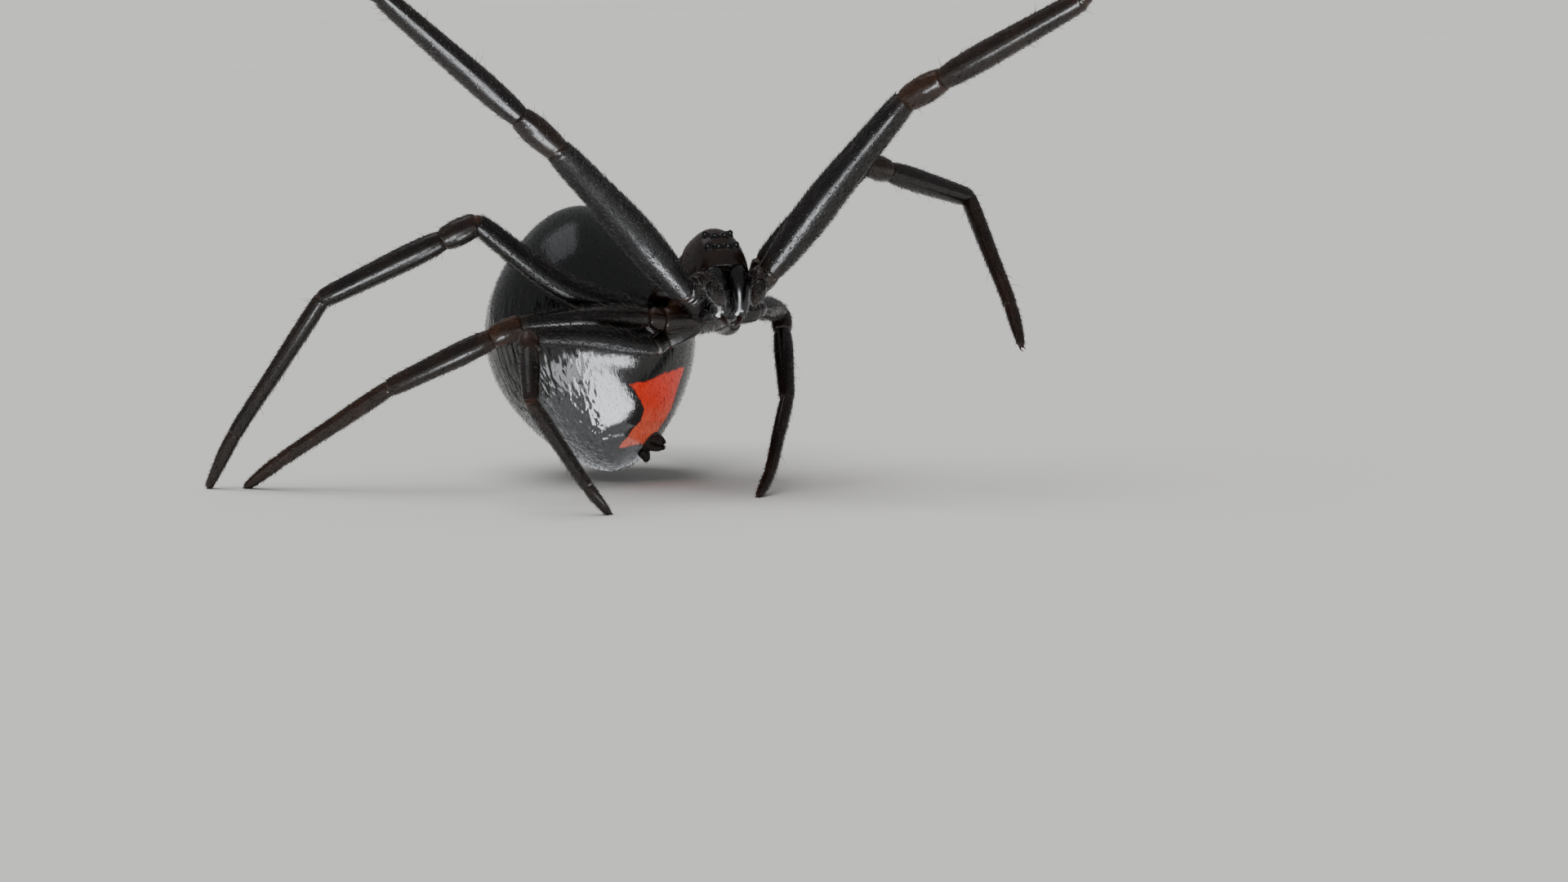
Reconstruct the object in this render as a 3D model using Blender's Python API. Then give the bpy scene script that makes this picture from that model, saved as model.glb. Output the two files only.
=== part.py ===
"""Black widow spider, a female, as a still life-size model standing on five of its eight feet.

Lengths are in millimetres in a pose frame: X to the viewer's right, Y away from the viewer, Z up from the
floor. Meshes are made in metres. At the end every node is moved so that the origin is the middle of the
underside of the whole animal's box. "Right" and "left" in names are the spider's own sides.
"""
import math
from dataclasses import dataclass

import bmesh
import bpy
import numpy as np
from mathutils import Vector
from mathutils.bvhtree import BVHTree

MM = 0.001
GAP = 0.3
SHARP_ANGLE = 45.0
BEYOND = 20.0

# The body frame: origin between the chelicerae, with axes forward, to the spider's left, and up its back.
FACE = (-1.76, 0.0, 7.15)
BODY_YAW = 20.0
BODY_PITCH = 25.0
BODY_ROLL = 1.0

# Carapace stations from the front edge to the rear edge: (back from the face, half width, height, depth).
CARAPACE_STATIONS = (
    (0.02, 0.52, 0.60, 0.03),
    (-0.10, 0.78, 1.06, 0.04),
    (-0.40, 0.94, 1.40, 0.06),
    (-0.85, 1.08, 1.54, 0.10),
    (-1.35, 1.26, 1.48, 0.16),
    (-1.85, 1.46, 1.12, 0.24),
    (-2.40, 1.66, 0.78, 0.28),
    (-2.95, 1.72, 0.68, 0.28),
    (-3.42, 1.54, 0.62, 0.24),
    (-3.82, 1.12, 0.48, 0.18),
    (-4.04, 0.62, 0.28, 0.12),
)
CARAPACE_MARGIN = 0.56
CARAPACE_ENDS = (0.08, -4.14)
CARAPACE_SIDES = 22
FOVEA_SIZE = (0.34, 0.16, 0.22)
FOVEA_PLACE = (-2.62, 0.0, 1.34)

# The sternum with the flesh above it, and the labium between the two mouth lobes.
STERNUM_CENTRE = (-2.45, 0.0, 0.02)
STERNUM_SIZE = (1.34, 1.32, 0.72)
MOUTH_LOBE_ROOT = (-1.75, 0.42, -0.32)
MOUTH_LOBE_TIP = (-1.08, 0.24, -0.72)
MOUTH_LOBE_WIDTHS = (0.42, 0.52, 0.52, 0.47, 0.31)
LABIUM_SIZE = (0.30, 0.26, 0.16)
LABIUM_PLACE = (-1.32, 0.0, -0.60)

# Hips: the coxae spread from one centre under the carapace, each with a trochanter at its end.
COXA_CENTRE = (-2.30, 0.0, -0.36)
COXA_ROOT = 0.55
COXA_WIDTH = (0.90, 0.88, 0.82, 0.90)
COXA_PROFILE = (0.8, 1.0, 1.0, 1.04, 1.04, 1.0, 0.94)
TROCHANTER_WIDTHS = (0.86, 0.86, 0.77)

# Eight simple eyes in two rows across the front of the head: (degrees aside, degrees up, width).
EYES = ((11.0, 12.0, 0.20), (33.0, 15.0, 0.22), (12.0, 38.0, 0.20), (36.0, 36.0, 0.20))
EYE_CENTRE = (-0.85, 0.0, 1.00)
EYE_SINK = 0.35
EYE_RIM = 0.05

# Chelicerae with their fangs, and the palps beside them.
CHELICERA_BASE = (-0.40, 0.37, 0.26)
CHELICERA_TIP = (-0.46, 0.34, -1.08)
CHELICERA_WIDTHS = (0.60, 0.68, 0.68, 0.62, 0.44)
CHELICERA_ROUND = 0.1
FANG_ROOT = (-0.40, 0.30, -1.00)
FANG_BEND = (-0.34, 0.20, -1.32)
FANG_POINT = (-0.50, 0.09, -1.38)
FANG_WIDTHS = (0.24, 0.07)
PALP_STUB = ((-1.40, 0.60, -0.25), (-0.42, 0.92, -0.10))
PALP_STUB_WIDTHS = (0.44, 0.44, 0.42, 0.40)
PALP_PATH = (
    (-0.05, 0.89, 0.02),
    (0.22, 0.95, 0.12),
    (0.44, 0.93, 0.02),
    (0.56, 0.86, -0.24),
    (0.60, 0.76, -0.50),
    (0.56, 0.64, -0.76),
    (0.48, 0.52, -1.00),
)
PALP_WIDTHS = (0.46, 0.48, 0.48, 0.50, 0.50, 0.46, 0.28)

# Abdomen: a full egg that narrows at both ends, its long axis running down to the tail end.
ABDOMEN_TOP = (-7.09, 7.00, 9.06)
ABDOMEN_BOTTOM = (-5.57, 5.45, 0.36)
ABDOMEN_RADIUS = 3.53
ABDOMEN_TAPER = 0.065
ABDOMEN_NARROW = 0.24
ABDOMEN_BOW = 0.135
ABDOMEN_RINGS = 20
ABDOMEN_SIDES = 30
VENTER_AZIMUTH = 50.0
VENTER_FLATTEN = 0.05
TAIL_CUT = 0.955
TAIL_RISE = 1.0
TAIL_SLOPE = 0.55
TAIL_TILT = 0.75
TAIL_ASIDE = -0.38
TAIL_SINK = 0.22
SEAT_WIDTH = 1.30
SEAT_REACH = 1.4

# The waist between carapace and abdomen, and the six spinnerets with the anal cone.
PEDICEL_WIDTHS = (0.66, 0.60, 0.57, 0.58, 0.61, 0.66)
PEDICEL_FRONT = (-4.40, 0.0, 0.24)
MOUND_HEIGHT = 0.20
MOUND_WIDTHS = (0.88, 0.83, 0.69)
SPINNERET_RING = 0.29
SPINNERET_REACH = 0.46
SPINNERET_LEAN = 0.25
SPINNERET_WIDTHS = (0.32, 0.30, 0.26, 0.16)

# Widths along each part of the first leg, and how stout each pair's lengths are next to it.
FEMUR_WIDTHS = (0.90, 1.06, 1.16, 1.14, 1.08, 1.00, 0.92)
TIBIA_WIDTHS = (0.82, 0.90, 0.88, 0.80, 0.84, 0.82, 0.78, 0.72, 0.64)
PATELLA_SHARE = 0.22
FOOT_WIDTHS = (0.60, 0.60, 0.57, 0.55, 0.52, 0.50, 0.48, 0.40, 0.28)
TARSUS_SHARE = 0.72
FEMUR_GIRTH = (1.00, 0.72, 0.64, 0.78)
SHIN_GIRTH = (1.00, 0.88, 0.76, 0.92)
HIP_GIRTH = (1.00, 0.86, 0.80, 0.90)
LEAST_WIDTH = 0.50
TIP_WIDTH = 0.28
LEG_SIDES = 12
FOOT_ARCH = 0.16


@dataclass(frozen=True)
class Finish:
    """A plain surface: its colour in linear light, how rough it is, and the name of its slot."""

    name: str
    colour: tuple
    roughness: float


CUTICLE = Finish("cuticle_black", (0.012, 0.011, 0.012), 0.18)
LEG_BROWN = Finish("cuticle_brown", (0.045, 0.022, 0.014), 0.25)
ABDOMEN_BLACK = Finish("abdomen_black", (0.008, 0.008, 0.010), 0.12)
SPINNERET_GREY = Finish("spinneret_grey", (0.060, 0.052, 0.048), 0.45)


@dataclass(frozen=True)
class Leg:
    """One leg's pose: its pair from the front, its side (1 left, -1 right), its coxa, bends and toe.

    The coxa is given as degrees round from straight ahead, degrees up, and how far out it ends. The femur
    bows up or down at its middle by the arch.
    """

    name: str
    pair: int
    side: int
    coxa: tuple
    hip: tuple
    arch: float
    knee: tuple
    ankle: tuple
    toe: tuple

    @property
    def stands(self):
        """True where the toe rests on the floor."""
        return self.toe[2] == 0.0


LEGS = (
    Leg("leg_right_1", 1, -1, (38, 12, 1.80), (-3.20, 0.1, 6.80), 0.10,
        (-7.0, -4.0, 11.55), (-12.3, -5.0, 16.3), (-18.0, -7.0, 22.3)),
    Leg("leg_left_1", 1, 1, (44, 17, 2.00), (-0.50, 0.85, 7.35), 0.10,
        (3.88, 1.4, 12.85), (9.35, -1.8, 16.15), (12.6, -3.6, 24.2)),
    Leg("leg_right_2", 2, -1, (84, -4, 1.65), (-4.32, 0.98, 5.90), 0.06,
        (-8.5, 1.5, 5.62), (-12.8, 1.5, 3.55), (-17.8, 3.5, 0.0)),
    Leg("leg_left_2", 2, 1, (76, 26, 1.85), (-0.70, 2.3, 7.60), 0.10,
        (2.65, 2.55, 10.75), (6.1, 5.0, 9.5), (7.7, 1.5, 4.9)),
    Leg("leg_right_3", 3, -1, (108, -18, 1.65), (-4.2, 1.15, 4.90), 0.15,
        (-8.1, -1.3, 5.5), (-7.9, -3.6, 3.65), (-5.5, -2.8, 0.0)),
    Leg("leg_left_3", 3, 1, (106, 10, 1.80), (-0.85, 3.45, 5.95), 0.06,
        (-0.1, 6.5, 5.55), (0.1, 4.5, 2.85), (-0.85, 1.2, 0.0)),
    Leg("leg_right_4", 4, -1, (142, 8, 1.90), (-4.32, 2.25, 5.85), -0.60,
        (-9.9, 1.5, 8.9), (-15.0, 2.0, 6.4), (-19.0, 3.4, 0.0)),
    Leg("leg_left_4", 4, 1, (144, 10, 2.00), (-2.75, 4.35, 6.05), 0.20,
        (-2.2, 9.9, 7.0), (-5.5, 12.5, 3.0), (-8.0, 18.5, 0.0)),
)


def unit(vector):
    """The vector at length one."""
    vector = np.asarray(vector, dtype=float)
    return vector / np.linalg.norm(vector)


def body_axes():
    """The body's forward, left and up directions, from its yaw, pitch and roll."""
    yaw, pitch, roll = (math.radians(a) for a in (BODY_YAW, BODY_PITCH, BODY_ROLL))
    level_left = np.array((math.cos(yaw), math.sin(yaw), 0.0))
    ahead = np.array((math.sin(yaw), -math.cos(yaw), 0.0))
    forward = ahead * math.cos(pitch) + np.array((0.0, 0.0, math.sin(pitch)))
    level_up = np.cross(forward, level_left)
    left = level_left * math.cos(roll) + level_up * math.sin(roll)
    up = level_up * math.cos(roll) - level_left * math.sin(roll)
    return forward, left, up


AXES = np.array(body_axes())


def on_body(point, side=1):
    """A point given as forward, outwards and up from the face, in the pose frame."""
    forward, aside, up = point
    return np.array(FACE) + np.array((forward, aside * side, up)) @ AXES


def finish_of(finish):
    """The material of a finish, made once."""
    material = bpy.data.materials.get(finish.name)
    if material is None:
        material = bpy.data.materials.new(finish.name)
        material.use_nodes = True
        shader = material.node_tree.nodes["Principled BSDF"]
        shader.inputs["Base Color"].default_value = (*finish.colour, 1.0)
        shader.inputs["Roughness"].default_value = finish.roughness
        shader.inputs["Metallic"].default_value = 0.0
    return material


def body_from(name, points, faces):
    """An object made from points in millimetres and faces, with its normals turned outwards."""
    shape = bmesh.new()
    corners = [shape.verts.new(Vector(p) * MM) for p in np.asarray(points)]
    for face in faces:
        shape.faces.new([corners[i] for i in face])
    bmesh.ops.recalc_face_normals(shape, faces=shape.faces)
    mesh = bpy.data.meshes.new(name)
    shape.to_mesh(mesh)
    shape.free()
    node = bpy.data.objects.new(name, mesh)
    bpy.context.scene.collection.objects.link(node)
    return node


def lofted(name, rings, first=None, last=None):
    """A closed body through rings of points. An end with a point closes to it, and one without is flat."""
    rings = np.asarray(rings)
    count, sides = rings.shape[:2]
    points = list(rings.reshape(-1, 3))
    faces = []
    for row in range(count - 1):
        for i in range(sides):
            j = (i + 1) % sides
            low = row * sides
            faces.append((low + i, low + j, low + sides + j, low + sides + i))
    for point, row in ((first, 0), (last, count - 1)):
        hub = len(points)
        points.append(rings[row].mean(axis=0) if point is None else np.asarray(point))
        for i in range(sides):
            faces.append((row * sides + i, row * sides + (i + 1) % sides, hub))
    return body_from(name, points, faces)


def smooth_path(corners, count):
    """Points on a smooth curve through the corners, evenly spread, by Catmull and Rom's formula."""
    corners = np.asarray(corners, dtype=float)
    ends = (2 * corners[0] - corners[1], 2 * corners[-1] - corners[-2])
    knots = np.vstack((ends[0], corners, ends[1]))
    places = np.linspace(0.0, len(corners) - 1.0, count)
    index = np.minimum(places.astype(int), len(corners) - 2)
    t = (places - index)[:, None]
    a, b, c, d = (knots[index + k] for k in range(4))
    return 0.5 * (2 * b + (c - a) * t + (2 * a - 5 * b + 4 * c - d) * t**2 + (3 * b - a - 3 * c + d) * t**3)


def ring_frames(path):
    """Two directions square to the path at each of its points, carried along without a twist."""
    tangents = np.gradient(path, axis=0)
    tangents /= np.linalg.norm(tangents, axis=1)[:, None]
    start = unit(np.cross(tangents[0], (0.0, 0.0, 1.0) if abs(tangents[0][2]) < 0.9 else (1.0, 0.0, 0.0)))
    sides = [start]
    for tangent in tangents[1:]:
        carried = sides[-1] - tangent * np.dot(sides[-1], tangent)
        sides.append(unit(carried))
    sides = np.array(sides)
    return tangents, sides, np.cross(tangents, sides)


def tube_rings(path, widths, sides, start_plane=None, end_plane=None):
    """Rings round a path. Near an end with a plane the rings slide along the path, so that it ends there."""
    tangents, across, over = ring_frames(path)
    angle = np.linspace(0.0, 2 * math.pi, sides, endpoint=False)
    radii = np.asarray(widths)[:, None, None] / 2
    turn = angle[None, :, None]
    spokes = across[:, None, :] * np.cos(turn) + over[:, None, :] * np.sin(turn)
    rings = path[:, None, :] + spokes * radii
    along = np.linspace(0.0, 1.0, len(path))
    for plane, row, fade in ((start_plane, 0, (1 - along) ** 2), (end_plane, -1, along**2)):
        if plane is None:
            continue
        point, normal = plane
        slide = ((np.asarray(point) - rings[row]) @ normal) / (tangents[row] @ normal)
        rings = rings + tangents[:, None, :] * slide[None, :, None] * fade[:, None, None]
    return rings


def tube(name, path, widths, sides=LEG_SIDES, start_plane=None, end_plane=None, tip=None):
    """A closed tube along a path, ending flat on a plane or rounded to a tip."""
    rings = tube_rings(path, widths, sides, start_plane, end_plane)
    return lofted(name, rings, last=tip)


def spread(values, count):
    """The values read off evenly at more places."""
    return np.interp(np.linspace(0, 1, count), np.linspace(0, 1, len(values)), values)


def ellipsoid(name, centre, sizes, axes=AXES, segments=16, rings=8):
    """A ball stretched along three axes, with its poles on the first one."""
    polar = np.linspace(0, math.pi, rings + 1)[1:-1]
    angle = np.linspace(0, 2 * math.pi, segments, endpoint=False)
    along = np.cos(polar)[:, None] * np.ones(segments)
    across = np.sin(polar)[:, None] * np.cos(angle)
    over = np.sin(polar)[:, None] * np.sin(angle)
    local = np.stack((along * sizes[0], across * sizes[1], over * sizes[2]), axis=-1)
    centre = np.asarray(centre)
    reach = axes[0] * sizes[0]
    return lofted(name, centre + local @ axes, first=centre + reach, last=centre - reach)


def keep_largest(node):
    """Keeps only the largest closed surface of a node's mesh."""
    shape = bmesh.new()
    shape.from_mesh(node.data)
    waiting = set(shape.verts)
    groups = []
    while waiting:
        group = {waiting.pop()}
        edge = list(group)
        while edge:
            near = [e.other_vert(v) for v in edge for e in v.link_edges]
            edge = [v for v in set(near) if v in waiting]
            waiting.difference_update(edge)
            group.update(edge)
        groups.append(group)
    groups.sort(key=len)
    loose = [v for group in groups[:-1] for v in group]
    bmesh.ops.delete(shape, geom=loose, context="VERTS")
    bmesh.ops.triangulate(shape, faces=shape.faces)
    shape.to_mesh(node.data)
    shape.free()


def combine(node, others, operation="UNION"):
    """Joins the others to a node, or cuts them from it, in one Boolean, and drops loose scraps."""
    group = bpy.data.collections.new(f"{node.name}_pieces")
    bpy.context.scene.collection.children.link(group)
    for other in others:
        bpy.context.scene.collection.objects.unlink(other)
        group.objects.link(other)
    boolean = node.modifiers.new("combine", "BOOLEAN")
    boolean.operation = operation
    boolean.solver = "EXACT"
    boolean.operand_type = "COLLECTION"
    boolean.collection = group
    bpy.context.view_layer.update()
    evaluated = node.evaluated_get(bpy.context.evaluated_depsgraph_get())
    joined = bpy.data.meshes.new_from_object(evaluated)
    node.modifiers.clear()
    node.data = joined
    for other in list(group.objects):
        bpy.data.objects.remove(other)
    bpy.data.collections.remove(group)
    keep_largest(node)
    return node


def surface_point(node, start, towards):
    """Where a line from inside a node leaves its surface, and the way that the surface faces there."""
    shape = bmesh.new()
    shape.from_mesh(node.data)
    tree = BVHTree.FromBMesh(shape)
    direction = unit(towards)
    far = np.asarray(start) + direction * BEYOND
    hit, normal = tree.ray_cast(Vector(far) * MM, Vector(-direction))[:2]
    shape.free()
    return np.array(hit) / MM, np.array(normal)


def dress(node, finish):
    """Gives a node its finish and smooth shading with sharp edges kept."""
    node.data.materials.clear()
    node.data.materials.append(finish_of(finish))
    node.data.shade_smooth()
    node.data.set_sharp_from_angle(angle=math.radians(SHARP_ANGLE))
    return node


def carapace():
    """The shield over the head and thorax: rounded stations, high at the head and low over the thorax."""
    angle = np.linspace(0, 2 * math.pi, CARAPACE_SIDES, endpoint=False)
    rings = []
    for back, half_width, height, depth in CARAPACE_STATIONS:
        aside = half_width * np.cos(angle)
        rise = np.where(np.sin(angle) > 0, height, depth) * np.sin(angle)
        rings.append([on_body((back, b, CARAPACE_MARGIN + c)) for b, c in zip(aside, rise)])
    first, last = (on_body((end, 0.0, CARAPACE_MARGIN)) for end in CARAPACE_ENDS)
    return lofted("cephalothorax", rings, first=first, last=last)


def coxa_end(leg):
    """The outer end of a leg's coxa."""
    turn, rise = (math.radians(angle) for angle in leg.coxa[:2])
    forward, left, up = AXES
    flat = forward * math.cos(turn) + left * leg.side * math.sin(turn)
    outwards = flat * math.cos(rise) + up * math.sin(rise)
    return on_body(COXA_CENTRE) + outwards * leg.coxa[2]


def hip_facing(leg):
    """The way that the joint face at the hip looks, between the trochanter's run and the femur's."""
    hip = np.array(leg.hip)
    return unit(unit(hip - coxa_end(leg)) + unit(np.array(leg.knee) - hip))


def coxa(leg):
    """A leg's coxa with its trochanter, which turns towards the femur and ends on a flat face."""
    end, hip = coxa_end(leg), np.array(leg.hip)
    centre = on_body(COXA_CENTRE)
    root = centre + unit(end - centre) * COXA_ROOT
    path = smooth_path((root, (root + end) / 2, end, hip), 10)
    stout = COXA_WIDTH[leg.pair - 1] * np.array(COXA_PROFILE)
    slim = HIP_GIRTH[leg.pair - 1] * np.array(TROCHANTER_WIDTHS)
    facing = hip_facing(leg)
    return tube(f"{leg.name}_coxa", path, np.concatenate((stout, slim)),
                end_plane=(hip - facing * GAP / 2, facing))


def eye_bumps(shield):
    """Eight low domes sunk in the front of the head, found on the shield's own surface."""
    bumps = []
    forward, left, up = AXES
    centre = on_body(EYE_CENTRE)
    for aside, rise, width in EYES:
        for side in (-1, 1):
            turn, lift = math.radians(aside * side), math.radians(rise)
            level = forward * math.cos(turn) + left * math.sin(turn)
            place, facing = surface_point(shield, centre, level * math.cos(lift) + up * math.sin(lift))
            seat = place - facing * width * EYE_SINK
            bumps.append(ellipsoid("eye", seat, (width / 2 + EYE_RIM,) * 3, segments=8, rings=6))
    return bumps


def cephalothorax():
    """Carapace, sternum, mouth lobes, labium, palp bases, coxae and eyes as one body with a fovea."""
    shield = carapace()
    pieces = eye_bumps(shield)
    pieces.append(ellipsoid("sternum", on_body(STERNUM_CENTRE), STERNUM_SIZE))
    pieces.append(ellipsoid("labium", on_body(LABIUM_PLACE), LABIUM_SIZE, segments=10, rings=6))
    for side in (-1, 1):
        lobe = smooth_path((on_body(MOUTH_LOBE_ROOT, side), on_body(MOUTH_LOBE_TIP, side)), 5)
        pieces.append(tube("mouth_lobe", lobe, MOUTH_LOBE_WIDTHS, sides=10))
        stub = smooth_path([on_body(p, side) for p in PALP_STUB], 4)
        pieces.append(tube("palp_stub", stub, PALP_STUB_WIDTHS, sides=10))
    pieces += [coxa(leg) for leg in LEGS]
    combine(shield, pieces)
    pit = ellipsoid("fovea", on_body(FOVEA_PLACE), FOVEA_SIZE, segments=10, rings=6)
    combine(shield, [pit], "DIFFERENCE")
    return dress(shield, CUTICLE)


def chelicera(name, side):
    """One jaw: a short stout column with a small fang that curves in under it."""
    path = smooth_path((on_body(CHELICERA_BASE, side), on_body(CHELICERA_TIP, side)), 9)
    drop = unit(path[-1] - path[0])
    widths = spread(CHELICERA_WIDTHS, len(path))
    tip = path[-1] + drop * CHELICERA_ROUND
    jaw = tube(name, path, widths, sides=14, start_plane=(path[0], drop), tip=tip)
    fang_path = smooth_path([on_body(p, side) for p in (FANG_ROOT, FANG_BEND, FANG_POINT)], 7)
    fang_widths = np.linspace(*FANG_WIDTHS, len(fang_path))
    fang = tube("fang", fang_path, fang_widths, sides=8)
    combine(jaw, [fang])
    return dress(jaw, CUTICLE)


def palp(name, side):
    """One palp: a small bent limb beside the jaw, from its base to the blunt tip."""
    path = smooth_path([on_body(p, side) for p in PALP_PATH], 13)
    widths = spread(PALP_WIDTHS, len(path))
    return dress(tube(name, path, widths, sides=10), LEG_BROWN)


def abdomen_frame():
    """The abdomen's axis, the way its belly faces, and the third direction square to both."""
    axis = unit(np.array(ABDOMEN_BOTTOM) - np.array(ABDOMEN_TOP))
    azimuth = math.radians(VENTER_AZIMUTH)
    belly = np.array((math.sin(azimuth), -math.cos(azimuth), 0.0))
    belly = unit(belly - axis * (belly @ axis))
    return axis, belly, np.cross(axis, belly)


def abdomen():
    """The egg-shaped abdomen, a little flat along the belly, cut flat where the spinnerets sit.

    Down the axis s runs from -1 to 1. The radius is that of a ball, less a taper with s and a narrowing with
    its square, and the rings' centres bow away from the belly.
    """
    axis, belly, flank = abdomen_frame()
    top = np.array(ABDOMEN_TOP)
    length = np.linalg.norm(np.array(ABDOMEN_BOTTOM) - top)
    polar = np.linspace(0, math.pi, ABDOMEN_RINGS + 1)[1:-1]
    angle = np.linspace(0, 2 * math.pi, ABDOMEN_SIDES, endpoint=False)
    rings = []
    for s in -np.cos(polar):
        ball = ABDOMEN_RADIUS * math.sqrt(1 - s * s)
        radius = ball * (1 - ABDOMEN_TAPER * s) * (1 - ABDOMEN_NARROW * s * s)
        centre = top + axis * length * (s + 1) / 2 - belly * ABDOMEN_BOW * (1 - s * s)
        flatten = 1 - VENTER_FLATTEN * np.clip(np.cos(angle), 0, 1) ** 2
        spokes = np.outer(np.cos(angle) * flatten, belly) + np.outer(np.sin(angle), flank)
        rings.append(centre + spokes * radius)
    node = lofted("abdomen", rings, first=top, last=top + axis * length)
    seat, facing = tail_seat(node)
    combine(node, [seat_cutter(seat, facing)], "DIFFERENCE")
    return dress(node, ABDOMEN_BLACK), seat, facing


def tail_seat(node):
    """The place on the belly side near the lower end where the spinnerets sit, and the way it faces."""
    axis, belly, flank = abdomen_frame()
    centre = np.array(ABDOMEN_TOP) * (1 - TAIL_CUT) + np.array(ABDOMEN_BOTTOM) * TAIL_CUT
    outwards = belly + flank * TAIL_ASIDE
    place, _ = surface_point(node, centre - axis * TAIL_RISE, outwards + axis * TAIL_SLOPE)
    facing = unit(outwards + axis * TAIL_TILT)
    return place - facing * TAIL_SINK, facing


def seat_cutter(seat, facing):
    """A round cutter whose flat end lies on the seat and which reaches well past the surface."""
    path = np.linspace(seat, seat + facing * SEAT_REACH, 3)
    return tube("seat_cutter", path, (SEAT_WIDTH,) * 3, sides=20)


def spinnerets(seat, facing):
    """The six spinnerets on their low mound, with the anal cone behind them."""
    aside = unit(np.cross(facing, (0.0, 0.0, 1.0)))
    over = np.cross(facing, aside)
    base = seat + facing * GAP
    mound = tube("spinnerets", np.linspace(base, base + facing * MOUND_HEIGHT, 3), MOUND_WIDTHS, sides=16)
    cones = []
    for turn in range(6):
        angle = math.radians(60 * turn + 30)
        spread_way = aside * math.cos(angle) + over * math.sin(angle)
        foot = base + spread_way * SPINNERET_RING
        tip = foot + unit(facing - spread_way * SPINNERET_LEAN) * SPINNERET_REACH
        path = np.linspace(foot + (tip - foot) * 0.1, tip, len(SPINNERET_WIDTHS))
        cones.append(tube("spinneret", path, SPINNERET_WIDTHS, sides=8))
    combine(mound, cones)
    return dress(mound, SPINNERET_GREY)


def pedicel(belly_node):
    """The narrow waist, which leaves the carapace straight back and bends a little to the abdomen."""
    start, back = on_body(PEDICEL_FRONT), -AXES[0]
    middle = (np.array(ABDOMEN_TOP) + np.array(ABDOMEN_BOTTOM)) / 2
    place, facing = surface_point(belly_node, middle, start - middle)
    end = place + facing * GAP
    path = np.linspace(start, end, len(PEDICEL_WIDTHS))
    waist = tube("pedicel", path, PEDICEL_WIDTHS, start_plane=(start, back), end_plane=(end, -facing))
    return dress(waist, CUTICLE)


def leg_nodes(leg):
    """The three lengths of one leg, which meet on mitred faces with the gap between them."""
    hip, knee, ankle, toe = (np.array(p) for p in (leg.hip, leg.knee, leg.ankle, leg.toe))
    thigh, shin, foot = unit(knee - hip), unit(ankle - knee), unit(toe - ankle)
    hip_way, knee_way, ankle_way = hip_facing(leg), unit(thigh + shin), unit(shin + foot)
    half_gap = GAP / 2

    def thick(widths, count, girths):
        return np.maximum(spread(widths, count) * girths[leg.pair - 1], LEAST_WIDTH)

    rise = np.array((0.0, 0.0, leg.arch))
    path = smooth_path((hip, (hip + knee) / 2 + rise, knee), 10)
    femur = tube(f"{leg.name}_femur", path, thick(FEMUR_WIDTHS, 10, FEMUR_GIRTH),
                 start_plane=(hip + hip_way * half_gap, hip_way),
                 end_plane=(knee - knee_way * half_gap, knee_way))
    path = smooth_path((knee, knee * (1 - PATELLA_SHARE) + ankle * PATELLA_SHARE, ankle), 13)
    tibia = tube(f"{leg.name}_tibia", path, thick(TIBIA_WIDTHS, 13, SHIN_GIRTH),
                 start_plane=(knee + knee_way * half_gap, knee_way),
                 end_plane=(ankle - ankle_way * half_gap, ankle_way))
    bend = unit(ankle_way - foot * (ankle_way @ foot)) * FOOT_ARCH
    tarsus_joint = ankle * (1 - TARSUS_SHARE) + toe * TARSUS_SHARE + bend
    path = smooth_path((ankle, (ankle + tarsus_joint) / 2, tarsus_joint, toe), 13)
    widths = thick(FOOT_WIDTHS, 13, SHIN_GIRTH)
    widths[-3:] = np.linspace(widths[-3], TIP_WIDTH, 3)
    floor = (np.array((0.0, 0.0, 0.0)), np.array((0.0, 0.0, -1.0))) if leg.stands else None
    foot_node = tube(f"{leg.name}_foot", path, widths,
                     start_plane=(ankle + ankle_way * half_gap, ankle_way), end_plane=floor)
    return [dress(femur, CUTICLE), dress(tibia, CUTICLE), dress(foot_node, LEG_BROWN)]


def set_origin_under(nodes):
    """Moves every node so that the origin is the middle of the underside of the whole box."""
    points = np.array([node.matrix_world @ v.co for node in nodes for v in node.data.vertices])
    low, high = points.min(axis=0), points.max(axis=0)
    shift = Vector((-(low[0] + high[0]) / 2, -(low[1] + high[1]) / 2, -low[2]))
    for node in nodes:
        for vertex in node.data.vertices:
            vertex.co += shift
    print("shift_mm", [round(c / MM, 4) for c in shift])


def main():
    """Builds the spider's nodes and sets its origin."""
    for thing in list(bpy.data.objects):
        bpy.data.objects.remove(thing)
    shield = cephalothorax()
    belly_node, seat, facing = abdomen()
    nodes = [shield, belly_node, pedicel(belly_node), spinnerets(seat, facing)]
    for name, side in (("right", -1), ("left", 1)):
        nodes.append(chelicera(f"chelicera_{name}", side))
        nodes.append(palp(f"palp_{name}", side))
    for leg in LEGS:
        nodes += leg_nodes(leg)
    set_origin_under(nodes)


main()
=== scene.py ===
"""A still, life-size black widow spider: the looks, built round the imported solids.

Places are worked out in millimetres in the pose frame: X to the viewer's right, Y away from the viewer, Z up
from the floor. They become metres in the solids' own frame when a mesh is made. "Right" and "left" in names
are the spider's own sides.
"""

import logging
import math
from collections.abc import Callable, Sequence
from dataclasses import dataclass, field
from enum import Enum

import bpy
import numpy as np
from mathutils import Matrix, Vector

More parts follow.
